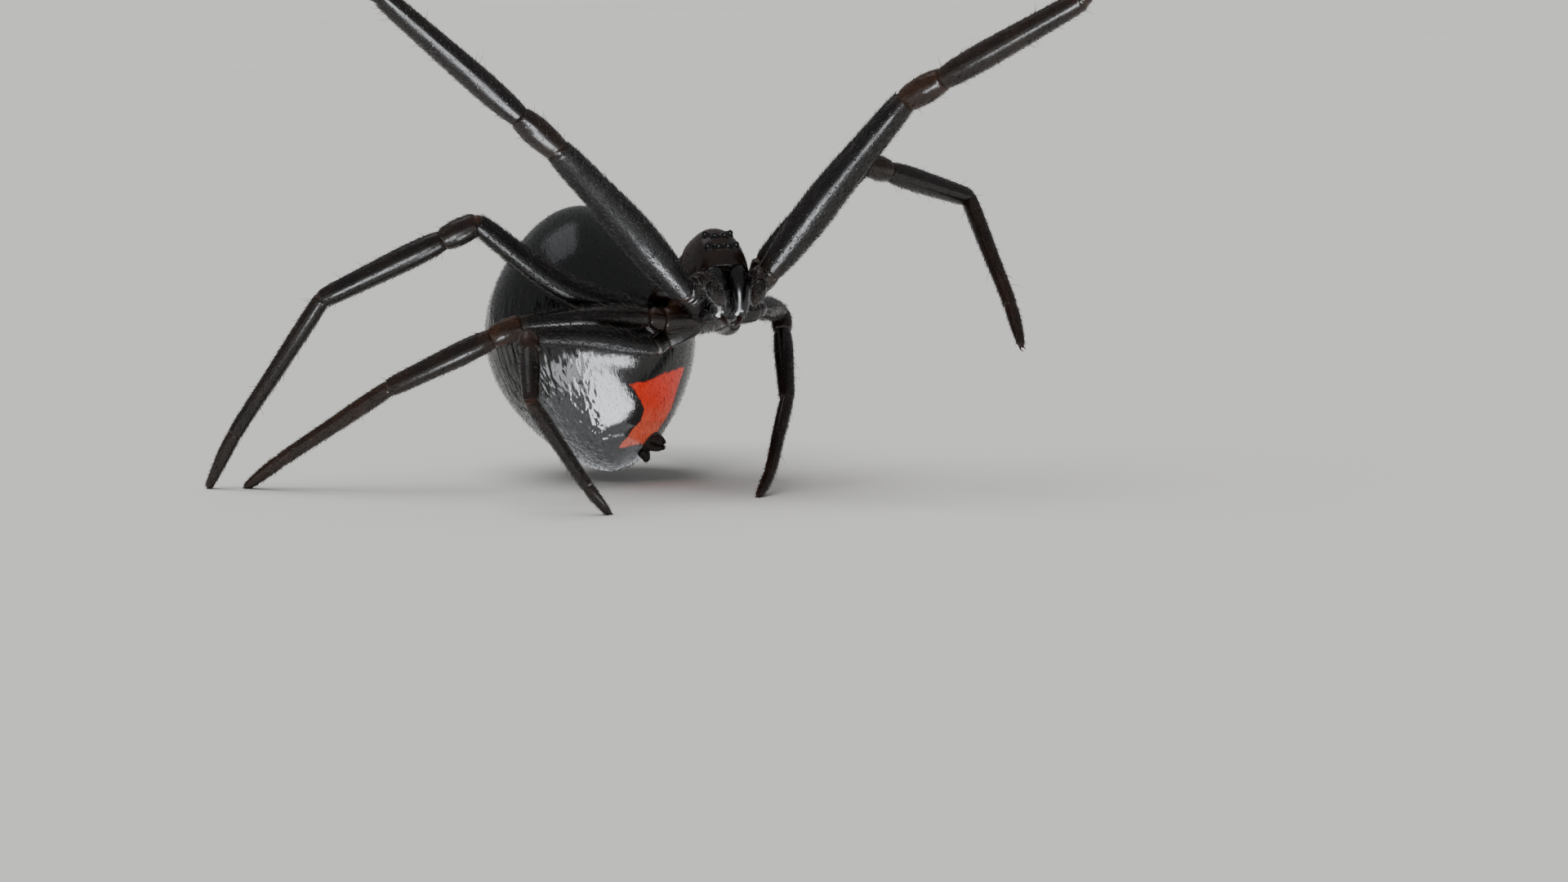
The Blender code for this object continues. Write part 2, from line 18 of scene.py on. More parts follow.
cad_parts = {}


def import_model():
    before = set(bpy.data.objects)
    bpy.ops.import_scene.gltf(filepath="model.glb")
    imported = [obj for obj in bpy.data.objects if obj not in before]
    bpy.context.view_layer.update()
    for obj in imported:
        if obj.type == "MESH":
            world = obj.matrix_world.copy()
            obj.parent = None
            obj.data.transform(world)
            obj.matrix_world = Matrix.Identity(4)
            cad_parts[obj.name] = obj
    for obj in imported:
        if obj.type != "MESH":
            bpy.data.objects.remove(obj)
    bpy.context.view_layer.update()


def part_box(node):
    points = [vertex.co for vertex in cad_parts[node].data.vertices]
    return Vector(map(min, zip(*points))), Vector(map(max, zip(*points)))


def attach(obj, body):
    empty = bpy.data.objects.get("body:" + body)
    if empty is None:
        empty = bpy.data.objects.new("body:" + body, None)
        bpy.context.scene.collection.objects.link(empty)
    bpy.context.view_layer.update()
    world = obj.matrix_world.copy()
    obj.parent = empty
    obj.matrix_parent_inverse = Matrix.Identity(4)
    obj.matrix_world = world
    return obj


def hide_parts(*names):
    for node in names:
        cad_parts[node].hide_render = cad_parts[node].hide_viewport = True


log = logging.getLogger("spider")

MM = 0.001
# The solids' origin, under the middle of the whole animal's box, as a place in the pose frame.
ORIGIN = np.array((-3.2097, 5.8699, 0.0))
ROOT = "root"


class Slot(Enum):
    """The record's material slots."""

    BLACK = "cuticle_black"
    BROWN = "cuticle_brown"
    ABDOMEN = "abdomen_black"
    SPINNERET = "spinneret_grey"


class Part(Enum):
    """The lengths of a leg, from the body outwards."""

    COXA = 0
    TROCHANTER = 1
    FEMUR = 2
    PATELLA = 3
    TIBIA = 4
    METATARSUS = 5
    TARSUS = 6


def unit(vectors: np.ndarray) -> np.ndarray:
    """The vectors at length one."""
    vectors = np.asarray(vectors, dtype=float)
    return vectors / np.maximum(np.linalg.norm(vectors, axis=-1, keepdims=True), 1e-12)


def spline(corners: np.ndarray, count: int) -> np.ndarray:
    """Points on a smooth curve through corners, by Catmull and Rom's cubic between each pair.

    Args:
        corners: The places that the curve passes, one per row.
        count: How many points to return, evenly spread over the pairs.

    Returns:
        The points, one per row.
    """
    corners = np.asarray(corners, dtype=float)
    knots = np.vstack((2 * corners[0] - corners[1], corners, 2 * corners[-1] - corners[-2]))
    places = np.linspace(0.0, len(corners) - 1.0, count)
    index = np.minimum(places.astype(int), len(corners) - 2)
    t = (places - index)[:, None]
    a, b, c, d = (knots[index + k] for k in range(4))
    return 0.5 * (2 * b + (c - a) * t + (2 * a - 5 * b + 4 * c - d) * t**2 + (3 * b - a - 3 * c + d) * t**3)


def bell(distance: np.ndarray, width: float) -> np.ndarray:
    """One at no distance, falling off as a bell curve of that width."""
    return np.exp(-((np.asarray(distance) / width) ** 2))


def smoothstep(low: float, high: float, values: np.ndarray) -> np.ndarray:
    """Zero below low, one above high, and an S curve between."""
    t = np.clip((np.asarray(values) - low) / (high - low), 0.0, 1.0)
    return t * t * (3 - 2 * t)


def resample(curve: np.ndarray, places: np.ndarray) -> np.ndarray:
    """Points of a curve at distances along it."""
    steps = np.linalg.norm(np.diff(curve, axis=0), axis=1)
    run = np.concatenate(((0.0,), np.cumsum(steps)))
    return np.stack([np.interp(places, run, curve[:, k]) for k in range(3)], axis=-1)


def length_of(curve: np.ndarray) -> float:
    """The length of a curve of points."""
    return float(np.linalg.norm(np.diff(curve, axis=0), axis=1).sum())


@dataclass(frozen=True)
class BodyFrame:
    """The head and thorax's own frame, with its origin between the jaws' bases."""

    face: tuple[float, float, float] = (-1.76, 0.0, 7.15)
    yaw: float = 20.0
    pitch: float = 25.0
    roll: float = 1.0

    def axes(self) -> np.ndarray:
        """Rows for ahead, to the spider's left, and up its back: a yaw, then a pitch, then a roll."""
        yaw, pitch, roll = (math.radians(a) for a in (self.yaw, self.pitch, self.roll))
        level_left = np.array((math.cos(yaw), math.sin(yaw), 0.0))
        ahead = np.array((math.sin(yaw), -math.cos(yaw), 0.0))
        forward = ahead * math.cos(pitch) + np.array((0.0, 0.0, math.sin(pitch)))
        level_up = np.cross(forward, level_left)
        left = level_left * math.cos(roll) + level_up * math.sin(roll)
        up = level_up * math.cos(roll) - level_left * math.sin(roll)
        return np.array((forward, left, up))

    def place(self, points: np.ndarray, side: int = 1) -> np.ndarray:
        """Points given as ahead, outwards and up, in the pose frame, on the left (1) or right (-1) side."""
        local = np.asarray(points, dtype=float) * np.array((1.0, side, 1.0))
        return np.array(self.face) + local @ self.axes()


BODY = BodyFrame()


@dataclass
class Roots:
    """Places on a skin where hairs grow: points, outward normals, the way the coat lies, and unwrapped places."""

    points: np.ndarray
    normals: np.ndarray
    lie: np.ndarray
    unwrap: np.ndarray


@dataclass
class Shell:
    """A closed skin made of rings of points, with a pole at each end.

    rings is rows by sides by three, in millimetres. marks are numbers kept with each ring point, such as how
    near a joint it is.
    """

    rings: np.ndarray
    first: np.ndarray
    last: np.ndarray
    marks: dict[str, np.ndarray] = field(default_factory=dict)

    def normals(self) -> np.ndarray:
        """Unit outward directions at the ring points: the cross product of the skin's two slopes."""
        along = np.gradient(self.rings, axis=0)
        around = np.roll(self.rings, -1, axis=1) - np.roll(self.rings, 1, axis=1)
        square = unit(np.cross(around, along))
        outward = self.rings - self.rings.mean(axis=1, keepdims=True)
        return square * np.sign((square * outward).sum())

    def raised(self, height: np.ndarray) -> "Shell":
        """The skin with each ring point moved out along its normal by a height in millimetres."""
        return Shell(self.rings + self.normals() * height[..., None], self.first, self.last, self.marks)

    def keep_above(self, level: float) -> None:
        """Lifts every point that is below a level to it."""
        for points in (self.rings, self.first, self.last):
            points[..., 2] = np.maximum(points[..., 2], level)

    def faces(self) -> tuple[np.ndarray, np.ndarray]:
        """The skin's faces as point numbers, with the poles numbered after the rings.

        Returns:
            The four-sided faces between rings, and the three-sided ones round the poles.
        """
        rows, sides = self.rings.shape[:2]
        i = np.arange(sides)
        j = (i + 1) % sides
        low = (np.arange(rows - 1) * sides)[:, None]
        quads = np.stack((low + i, low + j, low + sides + j, low + sides + i), axis=-1).reshape(-1, 4)
        end = (rows - 1) * sides
        front = np.stack((j, i, np.full(sides, rows * sides)), axis=-1)
        back = np.stack((end + i, end + j, np.full(sides, rows * sides + 1)), axis=-1)
        if self.volume(quads, front, back) < 0:
            return quads[:, ::-1], np.vstack((front, back))[:, ::-1]
        return quads, np.vstack((front, back))

    def points(self) -> np.ndarray:
        """All points: the rings, then the two poles."""
        return np.vstack((self.rings.reshape(-1, 3), self.first, self.last))

    def volume(self, quads: np.ndarray, *triangles: np.ndarray) -> float:
        """The space inside, negative where the faces point inwards: the sum of each triangle's tetrahedron."""
        split = np.vstack((quads[:, (0, 1, 2)], quads[:, (0, 2, 3)], *triangles))
        a, b, c = (self.points()[split[:, k]] for k in range(3))
        return float((a * np.cross(b, c)).sum() / 6)

    def all_marks(self, name: str) -> np.ndarray:
        """A mark for every point, where each pole has the mean of its ring."""
        values = self.marks.get(name, np.zeros(self.rings.shape[:2]))
        return np.concatenate((values.ravel(), (values[0].mean(), values[-1].mean())))

    def scatter(self, rng: np.random.Generator, density: float, keep: np.ndarray | None = None) -> Roots:
        """Even random places over the skin.

        Each place falls in a face drawn by its share of the area, in order, and anywhere inside that face.

        Args:
            rng: The source of the random draws.
            density: Places for each square millimetre.
            keep: A share from 0 to 1 for each ring point, where the coat thins out.

        Returns:
            The places, with their normals and the way towards the last pole.
        """
        grid, normals = self.rings, self.normals()
        right = np.roll(grid, -1, axis=1)
        area = np.linalg.norm(np.cross(right[1:] - grid[:-1], grid[1:] - right[:-1]), axis=-1) / 2
        weight = area if keep is None else area * keep[:-1]
        share = np.cumsum(weight.ravel())
        count = int(round(density * share[-1]))
        drawn = (np.arange(count) + rng.random(count)) / max(count, 1) * share[-1]
        index = np.minimum(np.searchsorted(share, drawn), weight.size - 1)
        row, side = np.divmod(index, grid.shape[1])
        beside = (side + 1) % grid.shape[1]
        s, t = rng.random(count)[:, None], rng.random(count)[:, None]

        def blend(values: np.ndarray) -> np.ndarray:
            """The values at the drawn places, mixed from the four corners of each face."""
            low = values[row, side] * (1 - s) + values[row, beside] * s
            high = values[row + 1, side] * (1 - s) + values[row + 1, beside] * s
            return low * (1 - t) + high * t

        unwrap = np.stack(((side + s[:, 0]) / grid.shape[1], (row + t[:, 0]) / grid.shape[0]), axis=-1)
        return Roots(blend(grid), unit(blend(normals)), unit(blend(np.gradient(grid, axis=0))), unwrap)


def tube_shell(
    curve: np.ndarray,
    widths: Sequence[float],
    reference: np.ndarray,
    rows: int,
    sides: int,
    round_end: float = 0.18,
    deep: float = 1.0,
) -> Shell:
    """A limb's length: circles carried along a curve, closed by a rounded end at each side.

    Each ring is centre + radius * (cos a * across + sin a * over), and near an end the radius is multiplied
    by the quarter circle sqrt(1 - (1 - d / round_end)^2) of the distance d to it.

    Args:
        curve: The centre line.
        widths: Diameters at even steps along the curve.
        reference: A direction that is never along the curve, which steadies the rings.
        rows: How many rings.
        sides: Points in each ring.
        round_end: How far in from each end the rounding starts.
        deep: How much deeper the limb is than it is wide.

    Returns:
        The closed skin.
    """
    total = length_of(curve)
    even = np.linspace(0.02, 0.98, rows)
    run = total * (0.55 * even + 0.45 * (0.5 - 0.5 * np.cos(math.pi * even)))
    run = (run - run[0]) / (run[-1] - run[0]) * (total - 0.02) + 0.01
    centre = resample(curve, run)
    forward = unit(np.gradient(centre, axis=0))
    across = unit(np.asarray(reference) - forward * (forward @ np.asarray(reference))[:, None])
    over = np.cross(forward, across)
    width = np.interp(run / total, np.linspace(0, 1, len(widths)), widths)
    closing = 1.0
    for gap in (run, total - run):
        closing = closing * np.sqrt(1 - (1 - np.clip(gap / round_end, 0, 1)) ** 2)
    radius = (width / 2 * closing)[:, None, None]
    angle = np.linspace(0, 2 * math.pi, sides, endpoint=False)[None, :, None]
    rings = centre[:, None] + radius * (np.cos(angle) * across[:, None] + np.sin(angle) * over[:, None] * deep)
    place = np.repeat((run / total)[:, None], sides, axis=1)
    return Shell(rings, curve[0].copy(), curve[-1].copy(), {"run": place})


def ball_shell(centre: np.ndarray, sizes: Sequence[float], axes: np.ndarray, rows: int, sides: int) -> Shell:
    """A ball stretched along three axes: centre + cos p on the first, sin p cos a and sin p sin a on the others.

    Args:
        centre: Its middle.
        sizes: Half sizes along the three axes.
        axes: The three axes as rows, with the poles on the first.
        rows: How many rings between the poles.
        sides: Points in each ring.

    Returns:
        The closed skin.
    """
    polar = np.linspace(0, math.pi, rows + 2)[1:-1, None]
    angle = np.linspace(0, 2 * math.pi, sides, endpoint=False)[None, :]
    ones = np.ones_like(angle)
    local = np.stack((np.cos(polar) * ones, np.sin(polar) * np.cos(angle), np.sin(polar) * np.sin(angle)), axis=-1)
    centre = np.asarray(centre)
    reach = axes[0] * sizes[0]
    return Shell(centre + (local * np.asarray(sizes)) @ axes, centre + reach, centre - reach)


def new_mesh(name: str, points: np.ndarray, faces: Sequence[np.ndarray]) -> bpy.types.Object:
    """A smooth-shaded mesh object from millimetre points in the pose frame.

    Args:
        name: The object's name.
        points: The points, one per row.
        faces: Arrays of faces, each with its own number of corners.

    Returns:
        The object, at the origin of the solids' frame.
    """
    mesh = bpy.data.meshes.new(name)
    mesh.vertices.add(len(points))
    mesh.vertices.foreach_set("co", ((points - ORIGIN) * MM).astype(np.float32).ravel())
    corners = np.concatenate([group.ravel() for group in faces])
    sizes = np.concatenate([np.full(len(group), group.shape[1]) for group in faces])
    mesh.loops.add(len(corners))
    mesh.loops.foreach_set("vertex_index", corners.astype(np.int32))
    mesh.polygons.add(len(sizes))
    mesh.polygons.foreach_set("loop_start", (np.cumsum(sizes) - sizes).astype(np.int32))
    mesh.update(calc_edges=True)
    mesh.shade_smooth()
    thing = bpy.data.objects.new(name, mesh)
    bpy.context.scene.collection.objects.link(thing)
    return thing


def settle(
    thing: bpy.types.Object, material: bpy.types.Material, nodes: Sequence[str] = ()
) -> bpy.types.Object:
    """Gives a piece its material, and says what it rides on and stands for."""
    thing.data.materials.append(material)
    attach(thing, ROOT)
    if nodes:
        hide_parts(*nodes)
    log.info("%s: %d faces", thing.name, len(thing.data.polygons))
    return thing


def skin_piece(
    name: str,
    shells: Sequence[Shell],
    material: bpy.types.Material,
    nodes: Sequence[str] = (),
) -> bpy.types.Object:
    """One piece from several closed skins, with their marks as attributes of its points."""
    points, quads, triangles, start = [], [], [], 0
    for shell in shells:
        four, three = shell.faces()
        quads.append(four + start)
        triangles.append(three + start)
        points.append(shell.points())
        start += len(points[-1])
    thing = new_mesh(name, np.vstack(points), (np.vstack(quads), np.vstack(triangles)))
    for mark in sorted({key for shell in shells for key in shell.marks} - {"run"}):
        values = np.concatenate([shell.all_marks(mark) for shell in shells]).astype(np.float32)
        thing.data.attributes.new(mark, "FLOAT", "POINT").data.foreach_set("value", values)
    return settle(thing, material, nodes)


@dataclass(frozen=True)
class HairStyle:
    """How one kind of bristle grows: its length and width in millimetres and its lift off the skin."""

    length: float
    width: float = 0.013
    lift: float = 28.0
    spread: float = 0.35
    wander: float = 0.25
    bend: float = 0.55


@dataclass
class Coat:
    """Solid bristles: each is a three-sided taper with one bend, rooted in the skin."""

    rng: np.random.Generator
    patch: float = 0.003
    points: list[np.ndarray] = field(default_factory=list)
    unwraps: list[np.ndarray] = field(default_factory=list)
    tones: list[np.ndarray] = field(default_factory=list)

    def grow(self, roots: Roots, style: HairStyle, cell: tuple[int, int] = (0, 1), lengths: float = 1.0) -> None:
        """Adds a bristle at each root.

        The bristle leaves along lie * cos(lift) + normal * sin(lift), turned a little aside at random, and
        past its middle it bends back towards the lie.

        Args:
            roots: Where they grow.
            style: Their size and lie.
            cell: Which strip of the unwrap these roots have, and out of how many.
            lengths: A factor on the style's length, or one for each root.
        """
        count = len(roots.points)
        if not count:
            return
        lie = unit(roots.lie - roots.normals * (roots.lie * roots.normals).sum(-1, keepdims=True))
        aside = np.cross(roots.normals, lie)
        turn = self.rng.normal(0, style.wander, (count, 1))
        lie = lie * np.cos(turn) + aside * np.sin(turn)
        lift = np.radians(style.lift) * (1 + self.rng.normal(0, style.spread, (count, 1)))
        lift = np.clip(lift, 0.12, 1.45)
        start = unit(lie * np.cos(lift) + roots.normals * np.sin(lift))
        finish = unit(start * (1 - style.bend) + lie * style.bend)
        size = style.length * lengths * self.rng.uniform(0.65, 1.25, count)
        size = size[:, None]
        base = roots.points - roots.normals * 0.02
        middle = base + start * size * 0.5
        tip = middle + finish * size * 0.5
        over = unit(np.cross(start, aside + 0.01))
        across = np.cross(start, over)
        girth = style.width / 2 * self.rng.uniform(0.8, 1.2, (count, 1, 1))
        angle = np.radians((90.0, 210.0, 330.0))[None, :, None]
        spoke = (np.cos(angle) * across[:, None] + np.sin(angle) * over[:, None]) * girth
        body = np.concatenate((base[:, None] + spoke, middle[:, None] + spoke * 0.72, tip[:, None]), axis=1)
        shape = np.array(((0, 0), (1, 0), (0.5, 0.2), (0.1, 0.5), (0.9, 0.5), (0.5, 0.7), (0.5, 1.0)))
        place = roots.unwrap * (1 - 2 * self.patch) + self.patch / 2
        place = np.stack((place[:, 0], (place[:, 1] + cell[0]) / cell[1]), axis=-1)
        self.points.append(body)
        self.unwraps.append(place[:, None] + shape * self.patch)
        self.tones.append(np.repeat(self.rng.random(count), 7))

    def keep_above(self, level: float) -> None:
        """Lifts every bristle's points to a level above the floor."""
        for body in self.points:
            body[..., 2] = np.maximum(body[..., 2], level)

    def piece(self, name: str, material: bpy.types.Material, slot: Slot) -> bpy.types.Object:
        """Makes the mesh of all bristles grown so far."""
        points = np.vstack(self.points)
        start = np.arange(len(points))[:, None, None] * 7
        sides = np.array(((0, 1, 4, 3), (1, 2, 5, 4), (2, 0, 3, 5)))
        ends = np.array(((3, 4, 6), (4, 5, 6), (5, 3, 6), (0, 2, 1)))
        quads = (start + sides).reshape(-1, 4)
        triangles = (start + ends).reshape(-1, 3)
        middle = points[:, :3].mean(axis=1)
        facing = np.cross(points[:, 1] - points[:, 0], points[:, 4] - points[:, 0])
        if (facing * (points[:, 0] - middle)).sum() < 0:
            quads, triangles = quads[:, ::-1], triangles[:, ::-1]
        thing = new_mesh(name, points.reshape(-1, 3), (quads, triangles))
        unwrap = np.vstack(self.unwraps).reshape(-1, 2)
        layer = thing.data.uv_layers.new(name="OFBake")
        corners = np.concatenate((quads.ravel(), triangles.ravel()))
        layer.data.foreach_set("uv", unwrap[corners].astype(np.float32).ravel())
        tone = np.concatenate(self.tones).astype(np.float32)
        thing.data.attributes.new("tone", "FLOAT", "POINT").data.foreach_set("value", tone)
        return settle(thing, material)


def linear(colour: str) -> tuple[float, float, float, float]:
    """An sRGB hex colour in linear light, by the standard's curve, with full opacity."""
    parts = [int(colour[k : k + 2], 16) / 255 for k in (1, 3, 5)]
    light = [c / 12.92 if c <= 0.04045 else ((c + 0.055) / 1.055) ** 2.4 for c in parts]
    return (*light, 1.0)


def add_node(
    tree: bpy.types.NodeTree, kind: str, inputs: dict | None = None, output: int | str = 0, **settings: object
) -> bpy.types.NodeSocket:
    """Adds a shader node.

    Args:
        tree: The material's node tree.
        kind: The node's type name after "ShaderNode".
        inputs: For each input name or number, a socket to link from or a fixed value.
        output: Which of the node's outputs to return.
        settings: The node's own properties.

    Returns:
        The output's socket.
    """
    made = tree.nodes.new("ShaderNode" + kind)
    for key, value in settings.items():
        setattr(made, key, value)
    for key, value in (inputs or {}).items():
        if isinstance(value, bpy.types.NodeSocket):
            tree.links.new(value, made.inputs[key])
        else:
            made.inputs[key].default_value = value
    return made.outputs[output]


@dataclass(frozen=True)
class Finish:
    """What every surface here shares: a dielectric with its name, index of refraction and roughness."""

    name: str
    ior: float
    roughness: float

    def begin(self) -> tuple[bpy.types.Material, bpy.types.Node, bpy.types.NodeSocket]:
        """A new material, its shader, and object coordinates in millimetres."""
        material = bpy.data.materials.new(self.name)
        material.use_nodes = True
        shader = material.node_tree.nodes["Principled BSDF"]
        shader.inputs["IOR"].default_value = self.ior
        shader.inputs["Roughness"].default_value = self.roughness
        place = add_node(material.node_tree, "TexCoord", output="Object")
        return material, shader, add_node(material.node_tree, "Mapping", {"Vector": place, "Scale": (1 / MM,) * 3})


@dataclass(frozen=True)
class Cuticle(Finish):
    """Hard chitin, as on the shield and legs: black, turning dark red-brown where it is thin.

    Chitin has an index of about 1.56. Each bristle stands in a raised socket, which breaks a highlight into
    sparks. The sockets are socket_mm apart and lift the surface by lift_mm.
    """

    black: str = "#070607"
    brown: str = "#40230f"
    pale: str = "#4a3020"
    socket_mm: float = 0.13
    lift_mm: float = 0.008
    grain_mm: float = 0.030
    grain_lift_mm: float = 0.002

    def material(self) -> bpy.types.Material:
        """The material: "warm" turns it brown, "joint" shows soft skin and "sockets" raises the sockets."""
        material, shader, place = self.begin()
        tree = material.node_tree
        # Slow patches, so that neither the brown nor the gloss is even.
        patches = add_node(tree, "TexNoise", {"Vector": place, "Scale": 1.1, "Detail": 4.0})
        warm = add_node(tree, "Attribute", output="Fac", attribute_name="warm")
        joint = add_node(tree, "Attribute", output="Fac", attribute_name="joint")
        uneven = add_node(tree, "MapRange", {0: patches, 1: 0.35, 2: 0.65, 3: 0.55, 4: 1.25})
        share = add_node(tree, "Math", {0: warm, 1: uneven}, operation="MULTIPLY", use_clamp=True)
        stain = {0: share, 6: linear(self.black), 7: linear(self.brown)}
        colour = add_node(tree, "Mix", stain, 2, data_type="RGBA")
        colour = add_node(tree, "Mix", {0: joint, 6: colour, 7: linear(self.pale)}, 2, data_type="RGBA")
        tree.links.new(colour, shader.inputs["Base Color"])
        # The sockets: small round lumps, highest at the middle of each Voronoi cell.
        cells = add_node(tree, "TexVoronoi", {"Vector": place, "Scale": 1 / self.socket_mm})
        lumps = add_node(tree, "MapRange", {0: cells, 1: 0.02, 2: 0.28, 3: 1.0, 4: 0.0}, interpolation_type="SMOOTHSTEP")
        share = add_node(tree, "Attribute", output="Fac", attribute_name="sockets")
        lumps = add_node(tree, "Math", {0: lumps, 1: share}, operation="MULTIPLY")
        normal = add_node(tree, "Bump", {"Height": lumps, "Distance": self.lift_mm * MM})
        # A very fine grain, drawn coarser than the real one, which softens the gloss.
        grain = add_node(tree, "TexNoise", {"Vector": place, "Scale": 1 / self.grain_mm, "Detail": 2.0})
        grain_lift = {"Height": grain, "Distance": self.grain_lift_mm * MM, "Normal": normal}
        tree.links.new(add_node(tree, "Bump", grain_lift), shader.inputs["Normal"])
        rough = add_node(tree, "MapRange", {0: patches, 1: 0.3, 2: 0.7, 3: self.roughness * 0.8, 4: self.roughness * 1.3})
        rough = add_node(tree, "Math", {0: share, 1: 0.05, 2: rough}, operation="MULTIPLY_ADD")
        tree.links.new(rough, shader.inputs["Roughness"])
        return material


@dataclass(frozen=True)
class AbdomenSkin(Finish):
    """The abdomen's tight, oily skin: black with fine folds lengthways, and a red hourglass below.

    The folds are fold_mm apart across the abdomen's axis and run much longer along it.
    """

    black: str = "#060707"
    red: str = "#fa3208"
    # A paler red for the hourglass's lower end: a painted sheen.
    salmon_sheen: str = "#fb6a4a"
    fold_mm: float = 0.21
    fold_lift_mm: float = 0.110
    stretch: float = 8.0
    turn: tuple[float, float, float] = (0.0, 0.0, 0.0)

    def material(self) -> bpy.types.Material:
        """The material, which paints the hourglass where the mark "hourglass" is above zero, with a painted sheen on
        its lower end.
        """
        material, shader, place = self.begin()
        tree = material.node_tree
        # The hourglass: its edge wanders by a few hundredths of a millimetre, and its lower half is paler: a painted
        # sheen, mottled by noise.
        edge = add_node(tree, "TexNoise", {"Vector": place, "Scale": 3.0, "Detail": 3.0})
        wander = add_node(tree, "MapRange", {0: edge, 1: 0.3, 2: 0.7, 3: -0.05, 4: 0.05})
        glass = add_node(tree, "Attribute", output="Fac", attribute_name="hourglass")
        inside = add_node(tree, "Math", {0: glass, 1: wander}, operation="ADD")
        mask = add_node(tree, "MapRange", {0: inside, 1: -0.03, 2: 0.04, 3: 0.0, 4: 1.0})
        mottle = add_node(tree, "TexNoise", {"Vector": place, "Scale": 4.0, "Detail": 4.0})
        mottle = add_node(tree, "MapRange", {0: mottle, 1: 0.3, 2: 0.7, 3: 0.5, 4: 1.3})
        lower = add_node(tree, "Attribute", output="Fac", attribute_name="lower")
        share = add_node(tree, "Math", {0: lower, 1: mottle}, operation="MULTIPLY", use_clamp=True)
        red = add_node(tree, "Mix", {0: share, 6: linear(self.red), 7: linear(self.salmon_sheen)}, 2, data_type="RGBA")
        colour = add_node(tree, "Mix", {0: mask, 6: linear(self.black), 7: red}, 2, data_type="RGBA")
        tree.links.new(colour, shader.inputs["Base Color"])
        # The folds: noise stretched along the abdomen's axis, deep where the mark "folded" is high.
        along = {"Vector": place, "Rotation": self.turn, "Scale": (1.0, 1.0, self.stretch)}
        lengthways = add_node(tree, "Mapping", along, vector_type="TEXTURE")
        folds = add_node(tree, "TexNoise", {"Vector": lengthways, "Scale": 1 / self.fold_mm, "Detail": 1.0})
        deep = add_node(tree, "Attribute", output="Fac", attribute_name="folded")
        folds = add_node(tree, "Math", {0: folds, 1: deep}, operation="MULTIPLY")
        normal = add_node(tree, "Bump", {"Height": folds, "Distance": self.fold_lift_mm * MM})
        # Between them, a fine leathery grain that only a close view shows.
        fine = add_node(tree, "TexNoise", {"Vector": lengthways, "Scale": 4 / self.fold_mm, "Detail": 2.0})
        fine_lift = {"Height": fine, "Distance": self.fold_lift_mm * 0.04 * MM, "Normal": normal}
        tree.links.new(add_node(tree, "Bump", fine_lift), shader.inputs["Normal"])
        return material


@dataclass(frozen=True)
class Plain(Finish):
    """A surface of two colours in small uneven patches, such as soft skin, horn or an eye's lens."""

    first: str = "#000000"
    second: str = "#101010"
    patch_mm: float = 0.2
    lift_mm: float = 0.004

    def material(self) -> bpy.types.Material:
        """The material: noise mixes the two colours and lifts the surface a little."""
        material, shader, place = self.begin()
        tree = material.node_tree
        noise = add_node(tree, "TexNoise", {"Vector": place, "Scale": 1 / self.patch_mm, "Detail": 4.0})
        share = add_node(tree, "MapRange", {0: noise, 1: 0.35, 2: 0.65, 3: 0.0, 4: 1.0})
        mix = {0: share, 6: linear(self.first), 7: linear(self.second)}
        tree.links.new(add_node(tree, "Mix", mix, 2, data_type="RGBA"), shader.inputs["Base Color"])
        lift = {"Height": noise, "Distance": self.lift_mm * MM}
        tree.links.new(add_node(tree, "Bump", lift), shader.inputs["Normal"])
        return material


@dataclass(frozen=True)
class Bristle(Finish):
    """Setae of dark chitin, mostly black; a few are pale, partly their own lighter tone and partly a painted glint."""

    dark: str = "#080707"
    # The few pale bristles: partly their own lighter tone, partly a painted glint.
    light: str = "#756b60"

    def material(self) -> bpy.types.Material:
        """The material, which takes each bristle's colour from its mark "tone"."""
        material, shader, _ = self.begin()
        tree = material.node_tree
        tone = add_node(tree, "Attribute", output="Fac", attribute_name="tone")
        # Only the top fifth of the tones turn pale: partly lighter setae, partly painted glints.
        share = add_node(tree, "MapRange", {0: tone, 1: 0.78, 2: 1.0, 3: 0.0, 4: 1.0})
        mix = {0: share, 6: linear(self.dark), 7: linear(self.light)}
        tree.links.new(add_node(tree, "Mix", mix, 2, data_type="RGBA"), shader.inputs["Base Color"])
        return material


